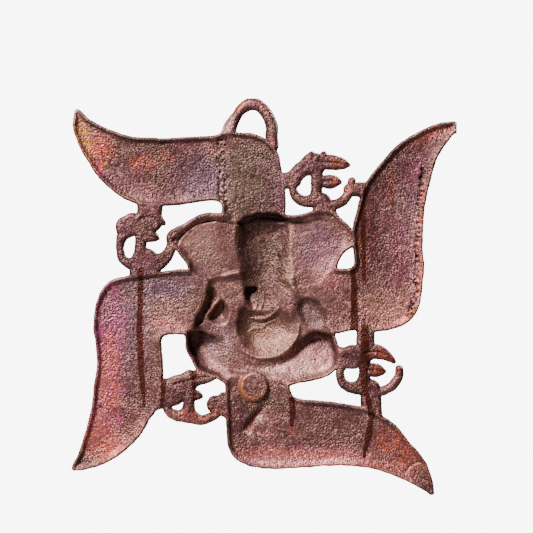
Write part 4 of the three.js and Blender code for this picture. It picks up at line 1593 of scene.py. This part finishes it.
TINTS = {
    Pigment.PINK: tints(
        (-82, 76, 10, 12, 0.08, -35), (-80, 65, 3, 6, 0.35, 35), (70, 26, 6, 30, 0.16),
        (79, 66, 5, 12, 0.2, -20), (80, 24, 4, 40, 0.15), (-74.4, -20, 9.5, 38, 0.6),
        (-78, -60, 10, 12, 0.5, 35), (30, -73, 26, 4, 0.1), (34, 26, 10, 12, 0.12),
        (20, -80.4, 44, 4, 0.3), (2, 98, 8, 4, 0.15),
    ),
    Pigment.ORANGE: tints(
        (-80, 74, 10, 12, 0.5, -35), (-59, 68.5, 7, 5, 0.35), (-46, 71, 5, 3, 0.2),
        (67, 50, 3, 12, 0.12), (53, 36, 4, 26, 0.12), (83.2, 18, 3, 46, 0.95),
        (78.6, -8, 3.4, 12, 0.8, -40), (86, 82.6, 14, 2.6, 0.45, 30), (-74.6, -38, 7, 20, 0.55),
        (-80, -69, 11, 14, 0.55, 35), (26, -79, 40, 4, 0.45, -3), (70, -76, 12, 10, 0.5, -35),
        (84.6, -78, 3, 18, 0.9, 18), (34, 14, 5, 7, 0.2, -40), (30, -81.6, 50, 2.6, 0.5, -3),
        (17.6, -66, 3, 3, 0.35), (-72, 32, 2, 12, 0.5), (42, 62, 7, 12, 0.4), (-30, -58, 16, 5, 0.35),
        (64, -34, 8, 14, 0.4), (-8.6, 98, 6, 2.6, 0.5, 40), (8, 79, 1.6, 2.4, 0.5),
    ),
    Pigment.GOLD: tints(
        (-88, 82, 6, 14, 0.7, 20),
    ),
    Pigment.PLUM: tints(
        (-52, 66, 30, 18, 0.75), (-50, 80, 46, 5, 0.5), (-76, 73, 13, 14, 0.5, -30),
        (9, 62, 6, 26, 0.6), (54, 36, 8, 34, 0.95), (72, 66, 22, 26, 0.75, -40), (66, 26, 14, 28, 0.38),
        (-58, -40, 12, 22, 0.4), (-66, -62, 5, 12, 0.4, 35), (34, -66, 44, 13, 0.2),
        (-6, -64, 12, 20, 0.6), (-18, 30, 5, 12, 0.5), (-58, 30, 18, 20, 0.85), (30, 60, 20, 17, 0.8),
        (-34, -48, 18, 14, 0.9), (54, -38, 20, 22, 0.95), (-2, 90, 16, 13, 0.4),
    ),
    Pigment.SLATE: tints(
        (-30, 62, 16, 14, 0.8), (-4, 60, 14, 20, 0.55), (9, 62, 6, 26, 0.4), (76, 58, 8, 26, 0.5, -15),
        (-76, -12, 9, 24, 0.35), (-64, -12, 12, 34, 0.45), (-48, 5, 20, 11, 0.65),
        (30, 26, 14, 16, 0.6), (-28, 20, 12, 14, 0.25), (-20, -20, 10, 12, 0.4), (9, 20, 4, 12, 0.5),
        (30, -28, 12, 8, 0.15), (27, -6, 8, 8, 0.3),
    ),
    Pigment.BUFF: tints(
        (66, -1, 15, 10, 0.6), (-46, -4, 13, 8, 0.4), (-26, 26, 16, 14, 0.55), (12, 12, 6, 14, 0.5),
        (17.4, 22, 2.6, 18, 0.6), (6, -20, 16, 11, 0.7), (-22, 0, 9, 12, 0.5), (16, -34, 26, 9, 0.5),
        (8, -19, 12, 9, 0.5),
    ),
    # umber patina across the arms, and painted shade where the patches lie in the figure's deep hollows
    Pigment.UMBER_AND_SHADE: tints(
        (-64, 79.4, 17, 4, 0.6, -8), (-3, 64, 14, 20, 0.55), (-44, 66, 30, 13, 0.5),
        (-73, 72, 16, 10, 0.6, -25), (5, 56, 3, 20, 0.5), (67, 50, 2.5, 12, 0.6), (58, 34, 8, 40, 0.3),
        (51, 38, 4, 30, 0.7), (56, 62, 4, 14, 0.6, -35), (-66, -58, 8, 9, 0.35, 35),
        (87, -94, 3, 5, 0.9, 20), (-1, 22, 10, 24, 0.9), (5, 22, 11, 22, 0.95), (6, 26, 9, 16, 0.5),
        (-29, -8, 7, 20, 0.6, -12), (-24, -2, 5, 11, 0.7, -25), (-9, -12, 7, 12, 0.4),
        (8, -18, 13, 10, 0.15), (-3, -59.6, 2.2, 8, 0.95, -36), (-58, 30, 18, 20, 0.35),
        (28, 58, 20, 17, 0.4), (-34, -48, 18, 14, 0.4), (52, -38, 16, 22, 0.4), (2, 88, 14, 13, 0.4),
    ),
    # light rose tint with painted light: on the rims and slopes that face the light
    Pigment.LIT_ROSE: tints(
        (83, 20, 5, 46, 0.6), (64, -4, 16, 10, 0.4), (74, -8, 14, 8, 0.7), (92, 84, 12, 5, 0.5, 20),
        (-76, -42, 8, 22, 0.5), (-74, -68, 20, 14, 0.5, 35), (-45, -12, 12, 6, 0.7),
        (28, -80, 50, 7, 0.95, -3), (72, -86, 16, 5, 0.6, -35), (30, 24, 12, 14, 0.2),
        (34, 14, 10, 10, 0.5), (26, -32, 16, 9, 0.5), (1, -64, 7, 9, 0.4, -30), (4, 94, 8, 7, 0.6),
    ),
    Pigment.OLIVE: tints(
        (-6, 62, 13, 22, 0.8), (-88, 80, 5, 16, 0.6, 20), (-68, 76, 18, 6, 0.4, -15),
        (74, 60, 7, 26, 0.5, -15), (-70, -62, 9, 8, 0.5, 35), (-52, -30, 5, 20, 0.5),
        (-2, -52, 16, 6, 0.5), (27, -6, 8, 8, 0.4), (6, -18, 14, 10, 0.35), (-8, 92, 7, 8, 0.4),
    ),
    # painted sheen and highlights on the slopes, crests and bumps that face the light
    Pigment.PAINTED_SHEEN: tints(
        (80, 24, 4, 40, 0.3), (-18, -25, 6, 9, 0.3, -15), (32, 16, 4, 8, 0.4, -35),
        (27, -29, 10, 5, 0.2, 20), (16, -35, 28, 6, 0.6), (10, -19, 9, 6, 0.1, 20),
        (17.4, 22, 2.2, 17, 0.22), (-26, 30, 9, 8, 0.1), (3, -61.4, 4.5, 3.2, 0.55, -30),
        (-2, -68.4, 4, 3.0, 0.55, 20), (20, -80.8, 42, 3, 0.55), (-18.6, 64, 1.2, 20, 0.45),
        (-91.6, 93, 3, 4, 0.8), (-90, -84, 3, 3, 0.3), (-15, 87, 4, 5, 0.7),
    ),
}

# Dark stains that ran down the metal: each a line of stations u, v and half-width
DRIPS = [
    [(-58.6, 15, 1.6), (-59.4, -8, 1.4), (-59.2, -26, 1.7), (-58, -42, 1.3), (-57, -53, 0.8)],
    [(-47.4, -38, 1.5), (-47.4, -46, 1.2), (-48.4, -55, 0.8)],
    [(-32.4, -36, 1.5), (-32, -44, 1.1), (-32, -52, 0.8)],
    [(47.4, 16, 1.3), (48.4, 4, 1.7), (48, -15, 2.0)],
    [(53.4, 56, 0.8), (52.8, 34, 1.3), (53.4, 10, 0.7)],
    [(17, -50, 1.7), (17.4, -57, 1.5), (16.8, -63, 1.1)],
    [(1.6, -55, 0.5), (-2.6, -60, 0.9), (-6.2, -64.6, 0.7)],
    [(53.4, -14, 2.0), (53.6, -28, 2.4), (53, -42, 1.6), (55.6, -52, 1.3), (57, -58, 1.8)],
    [(57, -59, 1.0), (56, -65, 1.5), (55.6, -68, 1.9), (54.4, -73, 1.1), (53, -79, 0.7)],
]


@dataclass
class Patina:
    """The masks that the bronze finish reads from the casting's points.

    Attributes:
        casting: The casting that it lies on.
    """

    casting: Casting

    TURN_RUN = 0.8  # height over which the back gives way to the front
    TINT_AROUND, TINT_BEHIND = 0.35, 0.65  # shares of the tints that lie on both sides and behind only
    FIGURE_RUN, FIGURE_SMOOTHER = 4.0, 0.5

    # What stands above its surroundings and what lies below them
    BACK_BLUR, FRONT_BLUR = 4, 6  # cells
    BEYOND_BACK, BEYOND_FRONT = -1.5, -3.0  # heights taken where there is no metal
    # depth in a hollow at which its dirt and painted shade are full, and height at which a point is
    # fully worn
    DIRT_DEPTH, WORN_HEIGHT = 1.3, 0.9
    GRIME, GRIME_START, GRIME_RUN = 0.7, 0.4, 1.4  # painted shade on the rims whose walls face down and right, away from the light

    # Where the gate's stub is bright
    STUB_MIDDLE = (-2.2, -43.0)
    STUB_FACING = 0.12
    FOOT_START, FOOT_RUN = 0.1, 0.3  # shares of its height
    TOP_END, TOP_RUN = 0.97, 0.1
    BRIM_INSET, BRIM_HALF, BRIM_CORE = 0.2, 0.6, 1.1
    BRIM_SHINE, BRIM_VARIES, BRIM_WAVE = 0.35, 0.2, 2.0

    # The patches, the rows of pits and the drips
    CLOUDS = Rough(14.0, 3, 0.45)
    PATCH_END, PATCH_RUN = 1.25, 0.8  # shares of a patch's size
    ROW_HALF, ROW_RUN = 1.6, 0.8
    DRIP_EDGES = Rough(2.2, 2, 0.4)
    DRIP_WIDER, DRIP_RUN = 0.3, 0.7
    REACH = 3.0

    def mark(self, obj: bpy.types.Object, vertices: Array) -> None:
        """Writes each mask as an attribute of the mesh.

        Args:
            obj: The casting's object.
            vertices: Its points in the drawing.
        """
        u, v, w = vertices.T
        middle = 0.5 * (self.casting.back(u, v) + self.casting.front(u, v))
        behind = smooth((w - middle) / self.TURN_RUN + 0.5)
        share = self.TINT_AROUND + self.TINT_BEHIND * behind
        for pigment in Pigment:
            self.write(obj, pigment.value, self.patches(pigment, u, v) * share)
        self.write(obj, "stain", self.stains(u, v) * behind)
        figure = smooth(inside_outline(closed_curve(FIGURE_OUTLINE), u, v) / self.FIGURE_RUN)
        self.write(obj, "rough_side", behind * (1 - self.FIGURE_SMOOTHER * figure))
        self.write(obj, "pitted", self.pitted(u, v) * behind)
        standing = self.standing(vertices, behind)
        # darker the deeper a point lies below its surroundings: partly dirt and partly painted shade
        dirt_and_shade = np.clip(-standing / self.DIRT_DEPTH, 0, 1)
        # the hollow mask: dirt and painted shade in the hollows, with painted shade on the rims that
        # face away from the light
        self.write(obj, "hollow", np.maximum(dirt_and_shade, self.painted_rim_shade(u, v) * behind))
        self.write(obj, "worn", np.clip(standing / self.WORN_HEIGHT, 0, 1))
        self.write(obj, "polished", self.polished(u, v) * behind)

    @staticmethod
    def write(obj: bpy.types.Object, name: str, values: Array) -> None:
        """Stores one value for each point of a mesh."""
        layer = obj.data.attributes.new(name, "FLOAT", "POINT")
        layer.data.foreach_set("value", np.asarray(values, np.float32))

    def standing(self, vertices: Array, behind: Array) -> Array:
        """How far the casting's points stand out from their surroundings.

        Args:
            vertices: The points in the drawing.
            behind: 1 on the open back and 0 in front.

        Returns:
            The heights, less than 0 in a hollow.
        """
        casting = self.casting
        u, v, w = vertices.T
        grid_u, grid_v = Field.grid(casting.LOW, casting.HIGH, casting.STEP)
        metal = casting.whole.values > 0
        back = casting.field(np.where(metal, casting.back(grid_u, grid_v), self.BEYOND_BACK))
        front = casting.field(np.where(metal, casting.front(grid_u, grid_v), self.BEYOND_FRONT))
        above = w - back.blurred(self.BACK_BLUR).sample(u, v)
        ahead = front.blurred(self.FRONT_BLUR).sample(u, v) - w
        return above + (ahead - above) * (1 - behind)

    def painted_rim_shade(self, u: Array, v: Array) -> Array:
        """The painted shade on the rims that face down and right, away from the light.

        Args:
            u: The places' u.
            v: The places' v.

        Returns:
            Its strength at the places, from 0 to 1.
        """
        edge = self.casting.whole.sample(u, v)
        rim = 1 - smooth((edge - self.GRIME_START) / self.GRIME_RUN)
        # painted shade: the rims darkened on the side that faces away from the light
        return self.GRIME * rim * self.casting.shaded_side(u, v)

    def polished(self, u: Array, v: Array) -> Array:
        """Where the gate's stub is bright: on one side and round its brim.

        Args:
            u: The places' u.
            v: The places' v.

        Returns:
            Its strength at the places, from 0 to 1.
        """
        share = self.casting.stub_share(u, v)
        across, up = u - self.STUB_MIDDLE[0], v - self.STUB_MIDDLE[1]
        facing = smooth(0.5 - self.STUB_FACING * across - self.STUB_FACING * up)
        foot = smooth((share - self.FOOT_START) / self.FOOT_RUN)
        bright = foot * smooth((self.TOP_END - share) / self.TOP_RUN) * facing
        top_u, top_v, radius = self.casting.stub_top
        from_brim = np.abs(np.hypot(u - top_u, v - top_v) - radius + self.BRIM_INSET)
        shine = self.BRIM_SHINE + self.BRIM_VARIES * self.casting.mottle.at(u, v, self.BRIM_WAVE)
        brim = shine * smooth(self.BRIM_CORE - from_brim / self.BRIM_HALF) * (share > 0.5)
        return np.maximum(bright, brim)

    def patches(self, pigment: Pigment, u: Array, v: Array) -> Array:
        """Where one tint lies.

        Args:
            pigment: The tint.
            u: The places' u.
            v: The places' v.

        Returns:
            Its strength at the places, from 0 to 1.
        """
        bare = np.ones(u.shape)
        cloud = self.CLOUDS.over(self.casting.mottle, u, v)
        for tint in TINTS[pigment]:
            angle = math.radians(tint.turn)
            du, dv = u - tint.u, v - tint.v
            x = (du * math.cos(angle) + dv * math.sin(angle)) / tint.width
            y = (-du * math.sin(angle) + dv * math.cos(angle)) / tint.height
            within = smooth((self.PATCH_END - np.hypot(x, y) + cloud) / self.PATCH_RUN)
            bare *= 1 - tint.strength * within
        return 1 - bare

    def pitted(self, u: Array, v: Array) -> Array:
        """Where the rows of pits lie.

        Args:
            u: The places' u.
            v: The places' v.

        Returns:
            1 in a row, 0 away from them.
        """
        mask = np.zeros(u.shape)
        for row in PIT_ROWS:
            line = open_curve(row.path)
            band = np.column_stack([line, np.full(len(line), self.ROW_HALF + row.scatter)])
            mask = np.maximum(mask, smooth(inside_stroke(band, u, v, self.REACH) / self.ROW_RUN))
        return mask

    def stains(self, u: Array, v: Array) -> Array:
        """Where the dark drips ran.

        Args:
            u: The places' u.
            v: The places' v.

        Returns:
            1 in a drip, 0 away from them.
        """
        mask = np.zeros(u.shape)
        ragged = self.DRIP_EDGES.over(self.casting.mottle, u, v)
        for drip in DRIPS:
            inward = inside_stroke(open_curve(drip), u, v, self.REACH) + ragged + self.DRIP_WIDER
            mask = np.maximum(mask, smooth(inward / self.DRIP_RUN))
        return mask


# Materials


def linear(red: int, green: int, blue: int) -> tuple[float, float, float, float]:
    """A colour given as a screen shows it, as light adds up."""
    shares = (channel / 255 for channel in (red, green, blue))
    return (*(s / 12.92 if s <= 0.04045 else ((s + 0.055) / 1.055) ** 2.4 for s in shares), 1.0)


class Value:
    """A socket of a node graph, on which sums are written as Python expressions."""

    def __init__(self, graph: "Graph", socket: bpy.types.NodeSocket) -> None:
        """Wraps a socket of a graph."""
        self.graph = graph
        self.socket = socket

    def math_node(self, operation: str, first: "Value | float", second: "Value | float") -> "Value":
        """The result of a Math node."""
        node = self.graph.node("ShaderNodeMath", {"operation": operation}, {0: first, 1: second})
        return self.graph.value(node, 0)

    def __add__(self, other: "Value | float") -> "Value":
        """The sum."""
        return self.math_node("ADD", self, other)

    __radd__ = __add__

    def __sub__(self, other: "Value | float") -> "Value":
        """The difference."""
        return self.math_node("SUBTRACT", self, other)

    def __rsub__(self, other: float) -> "Value":
        """The difference, the other way round."""
        return self.math_node("SUBTRACT", other, self)

    def __mul__(self, other: "Value | float") -> "Value":
        """The product."""
        return self.math_node("MULTIPLY", self, other)

    __rmul__ = __mul__

    def above(self, start: float, end: float) -> "Value":
        """Rises from 0 at one value to 1 at another, and stays between them.

        Args:
            start: The value where the rise begins.
            end: The value where it ends.

        Returns:
            The share of the rise.
        """
        node = self.graph.node(
            "ShaderNodeMapRange",
            {"interpolation_type": "SMOOTHSTEP"},
            {"Value": self, "From Min": start, "From Max": end},
        )
        return self.graph.value(node, 0)


class Graph:
    """The nodes of one material, or of the room around it."""

    def __init__(self, owner: bpy.types.Material | bpy.types.World) -> None:
        """Starts with an empty graph.

        Args:
            owner: The material or the world.
        """
        owner.use_nodes = True
        self.tree = owner.node_tree
        self.tree.nodes.clear()

    def node(self, kind: str, settings: dict, inputs: dict) -> bpy.types.Node:
        """Adds a node.

        Args:
            kind: Its type.
            settings: Its properties, which are set first.
            inputs: Values or links of its sockets, by name or number.

        Returns:
            The node.
        """
        node = self.tree.nodes.new(kind)
        for name, setting in settings.items():
            setattr(node, name, setting)
        for name, given in inputs.items():
            if isinstance(given, Value):
                self.tree.links.new(given.socket, node.inputs[name])
            else:
                node.inputs[name].default_value = given
        return node

    def value(self, node: bpy.types.Node, output: str | int) -> Value:
        """One of a node's outputs."""
        return Value(self, node.outputs[output])

    def attribute(self, name: str) -> Value:
        """A mask of the mesh."""
        node = self.node("ShaderNodeAttribute", {"attribute_name": name}, {})
        return self.value(node, "Fac")

    def noise(self, place: Value, size: float, detail: float, roughness: float) -> Value:
        """Noise from 0 to 1, with lumps of a size in millimetres."""
        inputs = {"Vector": place, "Scale": PER_METRE / size, "Detail": detail, "Roughness": roughness}
        return self.value(self.node("ShaderNodeTexNoise", {}, inputs), "Fac")

    def grains(self, place: Value, size: float) -> Value:
        """Distance to the nearest of scattered points, 0 in the middle of each grain of a size."""
        inputs = {"Vector": place, "Scale": PER_METRE / size, "Randomness": 1.0}
        return self.value(self.node("ShaderNodeTexVoronoi", {}, inputs), "Distance")

    def scaled(self, colour: Value, factor: Value) -> Value:
        """A colour made darker or lighter."""
        inputs = {"Vector": colour, "Scale": factor}
        return self.value(self.node("ShaderNodeVectorMath", {"operation": "SCALE"}, inputs), 0)

    def limited(self, colour: Value, most: float) -> Value:
        """A colour with none of its channels above a limit."""
        node = self.node("ShaderNodeVectorMath", {"operation": "MINIMUM"}, {0: colour, 1: (most,) * 3})
        return self.value(node, 0)

    def mix(self, share: Value | float, first: Value | tuple, second: Value | tuple) -> Value:
        """A mixture of two colours, with a share of the second."""
        node = self.node("ShaderNodeMix", {"data_type": "RGBA"}, {0: share, 6: first, 7: second})
        return self.value(node, 2)


@dataclass(frozen=True)
class SandCastBronze:
    """The finish of the casting: rough bronze with heat tints, dirt and painted shade in its hollows,
    painted shade on the rims away from the light, painted light on the slopes that face it, and worn
    rims.

    Attributes:
        ground: The commonest colour.
        light: Its lighter clouds.
        dirt_and_shade: What fills the hollows: dirt, with painted shade where they lie deep and on the
            rims that face away from the light.
        worn: The metal where it is rubbed.
        copper: The metal where it is polished.
        stain: The drips.
        mauve: The lumps that the heat turned.
        metallic: How metallic the surface is.
        washed: How much of a broad tint is even; the rest of it is flecked.
        flecked: How much of the other tints is even.
        lightest: Limit of a colour's channels.
        relief: Height of the sand's grain in metres.
    """

    ground: tuple = linear(96, 60, 57)
    light: tuple = linear(170, 118, 104)
    # dirt and painted shade in the hollows
    dirt_and_shade: tuple = linear(22, 9, 7)
    worn: tuple = linear(190, 128, 108)
    copper: tuple = linear(190, 112, 70)
    stain: tuple = linear(58, 18, 8)
    mauve: tuple = linear(132, 84, 100)
    metallic: float = 0.8
    washed: float = 0.7
    flecked: float = 0.15
    lightest: float = 0.9
    relief: float = 0.00037

    TINTS = {
        # rose tint, also painted light on the lit slopes
        Pigment.LIT_ROSE: linear(176, 100, 94),
        Pigment.SLATE: linear(88, 68, 82),
        Pigment.BUFF: linear(146, 102, 84),
        Pigment.OLIVE: linear(92, 72, 54),
        Pigment.PLUM: linear(70, 31, 37),
        # umber patina and painted shade
        Pigment.UMBER_AND_SHADE: linear(54, 34, 25),
        Pigment.PINK: linear(182, 62, 112),
        Pigment.ORANGE: linear(190, 76, 38),
        Pigment.GOLD: linear(186, 112, 40),
        # painted sheen
        Pigment.PAINTED_SHEEN: linear(186, 134, 130),
    }

    FLECKED = (Pigment.PINK, Pigment.ORANGE, Pigment.GOLD)

    # Sizes of the textures in millimetres
    FINE, LUMPS, COARSE, CLOUDS = 0.85, 1.8, 6.0, 13.0
    GRAIN, SPECKS, ROW_PITS = 1.0, 2.3, 1.8
    FLECKS, FLECKS_MORE = 1.1, 0.2  # the first tint's, and how much larger each further tint's are

    def tinted(self, graph: Graph, place: Value, coarse: Value, lumps: Value, clouds: Value) -> Value:
        """The colour of the metal with its heat tints.

        Args:
            graph: The material's graph.
            place: Where the textures are read.
            coarse: Coarse noise.
            lumps: Noise of the size of lumps.
            clouds: Noise of the size of clouds.

        Returns:
            The colour.
        """
        colour = graph.mix(0.35 * coarse.above(0.40, 0.70), self.ground, self.light)
        for number, (pigment, tint) in enumerate(self.TINTS.items()):
            size = self.FLECKS + self.FLECKS_MORE * number
            flecks = graph.noise(place, size, 4.0, 0.7).above(0.44, 0.58)
            even = self.flecked if pigment in self.FLECKED else self.washed
            share = graph.attribute(pigment.value) * (even + (1 - even) * flecks)
            colour = graph.mix(share, colour, tint)
        colour = graph.mix(0.25 * clouds.above(0.48, 0.66), colour, self.TINTS[Pigment.OLIVE])
        return graph.mix(0.35 * lumps.above(0.52, 0.66), colour, self.mauve)

    def soiled(self, graph: Graph, colour: Value, coarse: Value) -> Value:
        """A colour with the worn rims, the dirt and painted shade, the polished stub and the drips.

        Args:
            graph: The material's graph.
            colour: The colour of the metal.
            coarse: Coarse noise.

        Returns:
            The new colour.
        """
        colour = graph.mix(0.25 * graph.attribute("worn") * coarse.above(0.4, 0.6), colour, self.worn)
        # dirt and painted shade in the hollows, and painted shade on the rims that face away from the
        # light
        colour = graph.mix(0.6 * graph.attribute("hollow"), colour, self.dirt_and_shade)
        colour = graph.mix(0.8 * graph.attribute("polished"), colour, self.copper)
        return graph.mix(graph.attribute("stain").above(0.25, 0.7), colour, self.stain)

    def material(self) -> bpy.types.Material:
        """Makes the material.

        Returns:
            The material.
        """
        made = bpy.data.materials.new("sand_cast_bronze")
        graph = Graph(made)
        place = graph.value(graph.node("ShaderNodeTexCoord", {}, {}), "Object")
        fine = graph.noise(place, self.FINE, 3.0, 0.75)
        lumps = graph.noise(place, self.LUMPS, 3.0, 0.6)
        grain = graph.grains(place, self.GRAIN)
        coarse = graph.noise(place, self.COARSE, 4.0, 0.6)
        clouds = graph.noise(place, self.CLOUDS, 3.0, 0.6)
        specks = graph.grains(place, self.SPECKS)
        colour = self.tinted(graph, place, coarse, lumps, clouds)
        rough_side = graph.attribute("rough_side")
        patchy = (0.55 + 0.45 * coarse.above(0.42, 0.58)) * (0.35 + 0.65 * rough_side)
        # light and dark grains of the sand, the lightest of them partly painted glints
        speckle_and_glint = 0.2 + 0.9 * fine.above(0.36, 0.56) + 1.9 * fine.above(0.54, 0.68)
        pits = (1.0 - specks.above(0.13, 0.22)) * coarse.above(0.46, 0.54)
        holes = 1.0 - graph.grains(place, self.ROW_PITS).above(0.34, 0.42)
        rows = graph.attribute("pitted") * holes
        pits = pits + rows * (1.0 - pits)
        colour = graph.scaled(colour, (1.0 + (speckle_and_glint - 1.0) * patchy) * (1.0 - 0.85 * pits))
        colour = graph.limited(self.soiled(graph, colour, coarse), self.lightest)
        coarseness = (0.3 + 0.7 * rough_side) * (0.5 + 0.85 * clouds.above(0.42, 0.58))
        grit = (0.4 * fine + 0.45 * lumps - 0.95 * grain - 1.6 * pits) * coarseness
        bump = graph.node(
            "ShaderNodeBump", {}, {"Strength": 1.0, "Distance": self.relief, "Height": grit}
        )
        shader = graph.node("ShaderNodeBsdfPrincipled", {}, {
            "Base Color": colour,
            "Metallic": self.metallic,
            "Roughness": 0.38 + 0.3 * fine - 0.08 * graph.attribute("polished"),
            "Normal": graph.value(bump, 0),
        })
        graph.node("ShaderNodeOutputMaterial", {}, {"Surface": graph.value(shader, 0)})
        return made


# The studio


@dataclass(frozen=True)
class SoftLight:
    """A square soft light.

    Attributes:
        name: Its name.
        at: Where it is, in the frame's metres.
        size: Its side in metres.
        power: Its power in watts.
    """

    name: str
    at: tuple[float, float, float]
    size: float
    power: float


@dataclass
class Studio:
    """The pale room, the soft lights and the camera.

    Attributes:
        picture_width: Width of the picture at the plaque, in metres.
        middle: Where the picture's middle falls on the plaque's rims.
        lens: The lens in millimetres.
        lights: The soft lights.
        aim: What the lights point at.
        floor_height: Height of the floor.
        floor_half: Half the floor's side.
        floor_colour: The floor's colour.
        floor_roughness: How dull the floor is.
        ambient: Strength of the light from all round.
        screen: Strength of the white screen beyond the plaque.
        screen_edge: Cosines between which the screen fades into the room.
    """

    picture_width: float = PHOTO_SIDE * PIXEL
    middle: tuple[float, float, float] = (-0.00705, 0.003, -0.07905)
    lens: float = 85.0
    lights: tuple[SoftLight, ...] = (
        SoftLight("key", (0.62, 0.80, 0.78), 0.36, 77.0),
        SoftLight("front_key", (-0.7, -0.9, 0.8), 0.6, 60.0),
    )
    aim: tuple[float, float, float] = (0.0, 0.0, -0.08)
    floor_height: float = -1.5
    floor_half: float = 3.0
    floor_colour: tuple[float, float, float, float] = (0.9, 0.9, 0.89, 1.0)
    floor_roughness: float = 0.9
    ambient: float = 0.15
    screen: float = 8.0
    screen_edge: tuple[float, float] = (0.93, 0.953)

    SENSOR = 36.0  # width of the camera's sensor in millimetres
    AHEAD = (0.0, -1.0, 0.0)  # the way that the camera looks
    WHITE = (1.0, 1.0, 1.0, 1.0)

    def camera(self) -> None:
        """Sets the camera up, level and straight behind the plaque."""
        data = bpy.data.cameras.new("camera")
        data.lens = self.lens
        data.sensor_width = self.SENSOR
        camera = bpy.data.objects.new("camera", data)
        distance = self.picture_width * self.lens / self.SENSOR
        camera.location = Vector(self.middle) - distance * Vector(self.AHEAD)
        camera.rotation_euler = Vector(self.AHEAD).to_track_quat("-Z", "Y").to_euler()
        bpy.context.scene.collection.objects.link(camera)
        bpy.context.scene.camera = camera

    def hang(self, soft: SoftLight) -> None:
        """Hangs one of the soft lights.

        Args:
            soft: The light.
        """
        data = bpy.data.lights.new(soft.name, "AREA")
        data.size = soft.size
        data.energy = soft.power
        lamp = bpy.data.objects.new(soft.name, data)
        lamp.location = soft.at
        aim = Vector(self.aim) - Vector(soft.at)
        lamp.rotation_euler = aim.to_track_quat("-Z", "Y").to_euler()
        bpy.context.scene.collection.objects.link(lamp)

    def light(self) -> None:
        """Hangs the soft lights and lights the room."""
        for soft in self.lights:
            self.hang(soft)
        world = bpy.data.worlds.new("room")
        graph = Graph(world)
        way = graph.value(graph.node("ShaderNodeTexCoord", {}, {}), "Generated")
        ahead = graph.node(
            "ShaderNodeVectorMath", {"operation": "DOT_PRODUCT"}, {0: way, 1: self.AHEAD}
        )
        screen = graph.value(ahead, "Value").above(*self.screen_edge)
        strength = self.ambient + (self.screen - self.ambient) * screen
        light = graph.node("ShaderNodeBackground", {}, {"Color": self.WHITE, "Strength": strength})
        graph.node("ShaderNodeOutputWorld", {}, {"Surface": graph.value(light, 0)})
        bpy.context.scene.world = world

    def floor(self) -> None:
        """Lays the plain pale floor."""
        half = self.floor_half
        corners = [(-half, -half), (half, -half), (half, half), (-half, half)]
        mesh = bpy.data.meshes.new("floor")
        mesh.from_pydata([(x, y, self.floor_height) for x, y in corners], [], [(0, 1, 2, 3)])
        floor = bpy.data.objects.new("floor", mesh)
        bpy.context.scene.collection.objects.link(floor)
        material = bpy.data.materials.new("pale_floor")
        graph = Graph(material)
        inputs = {"Base Color": self.floor_colour, "Roughness": self.floor_roughness}
        shader = graph.node("ShaderNodeBsdfPrincipled", {}, inputs)
        graph.node("ShaderNodeOutputMaterial", {}, {"Surface": graph.value(shader, 0)})
        mesh.materials.append(material)
        floor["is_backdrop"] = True


def main() -> None:
    """Builds the plaque and its studio around the frame."""
    logging.basicConfig(level=logging.INFO, format="%(name)s: %(message)s")
    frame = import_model()
    cad_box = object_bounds()
    studio = Studio()
    studio.camera()
    studio.light()
    studio.floor()
    casting = Casting(box=cad_box)
    plaque = casting.build()
    casting.dress(plaque)
    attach(plaque, "root")
    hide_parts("plaque")


if __name__ == "__main__":
    main()
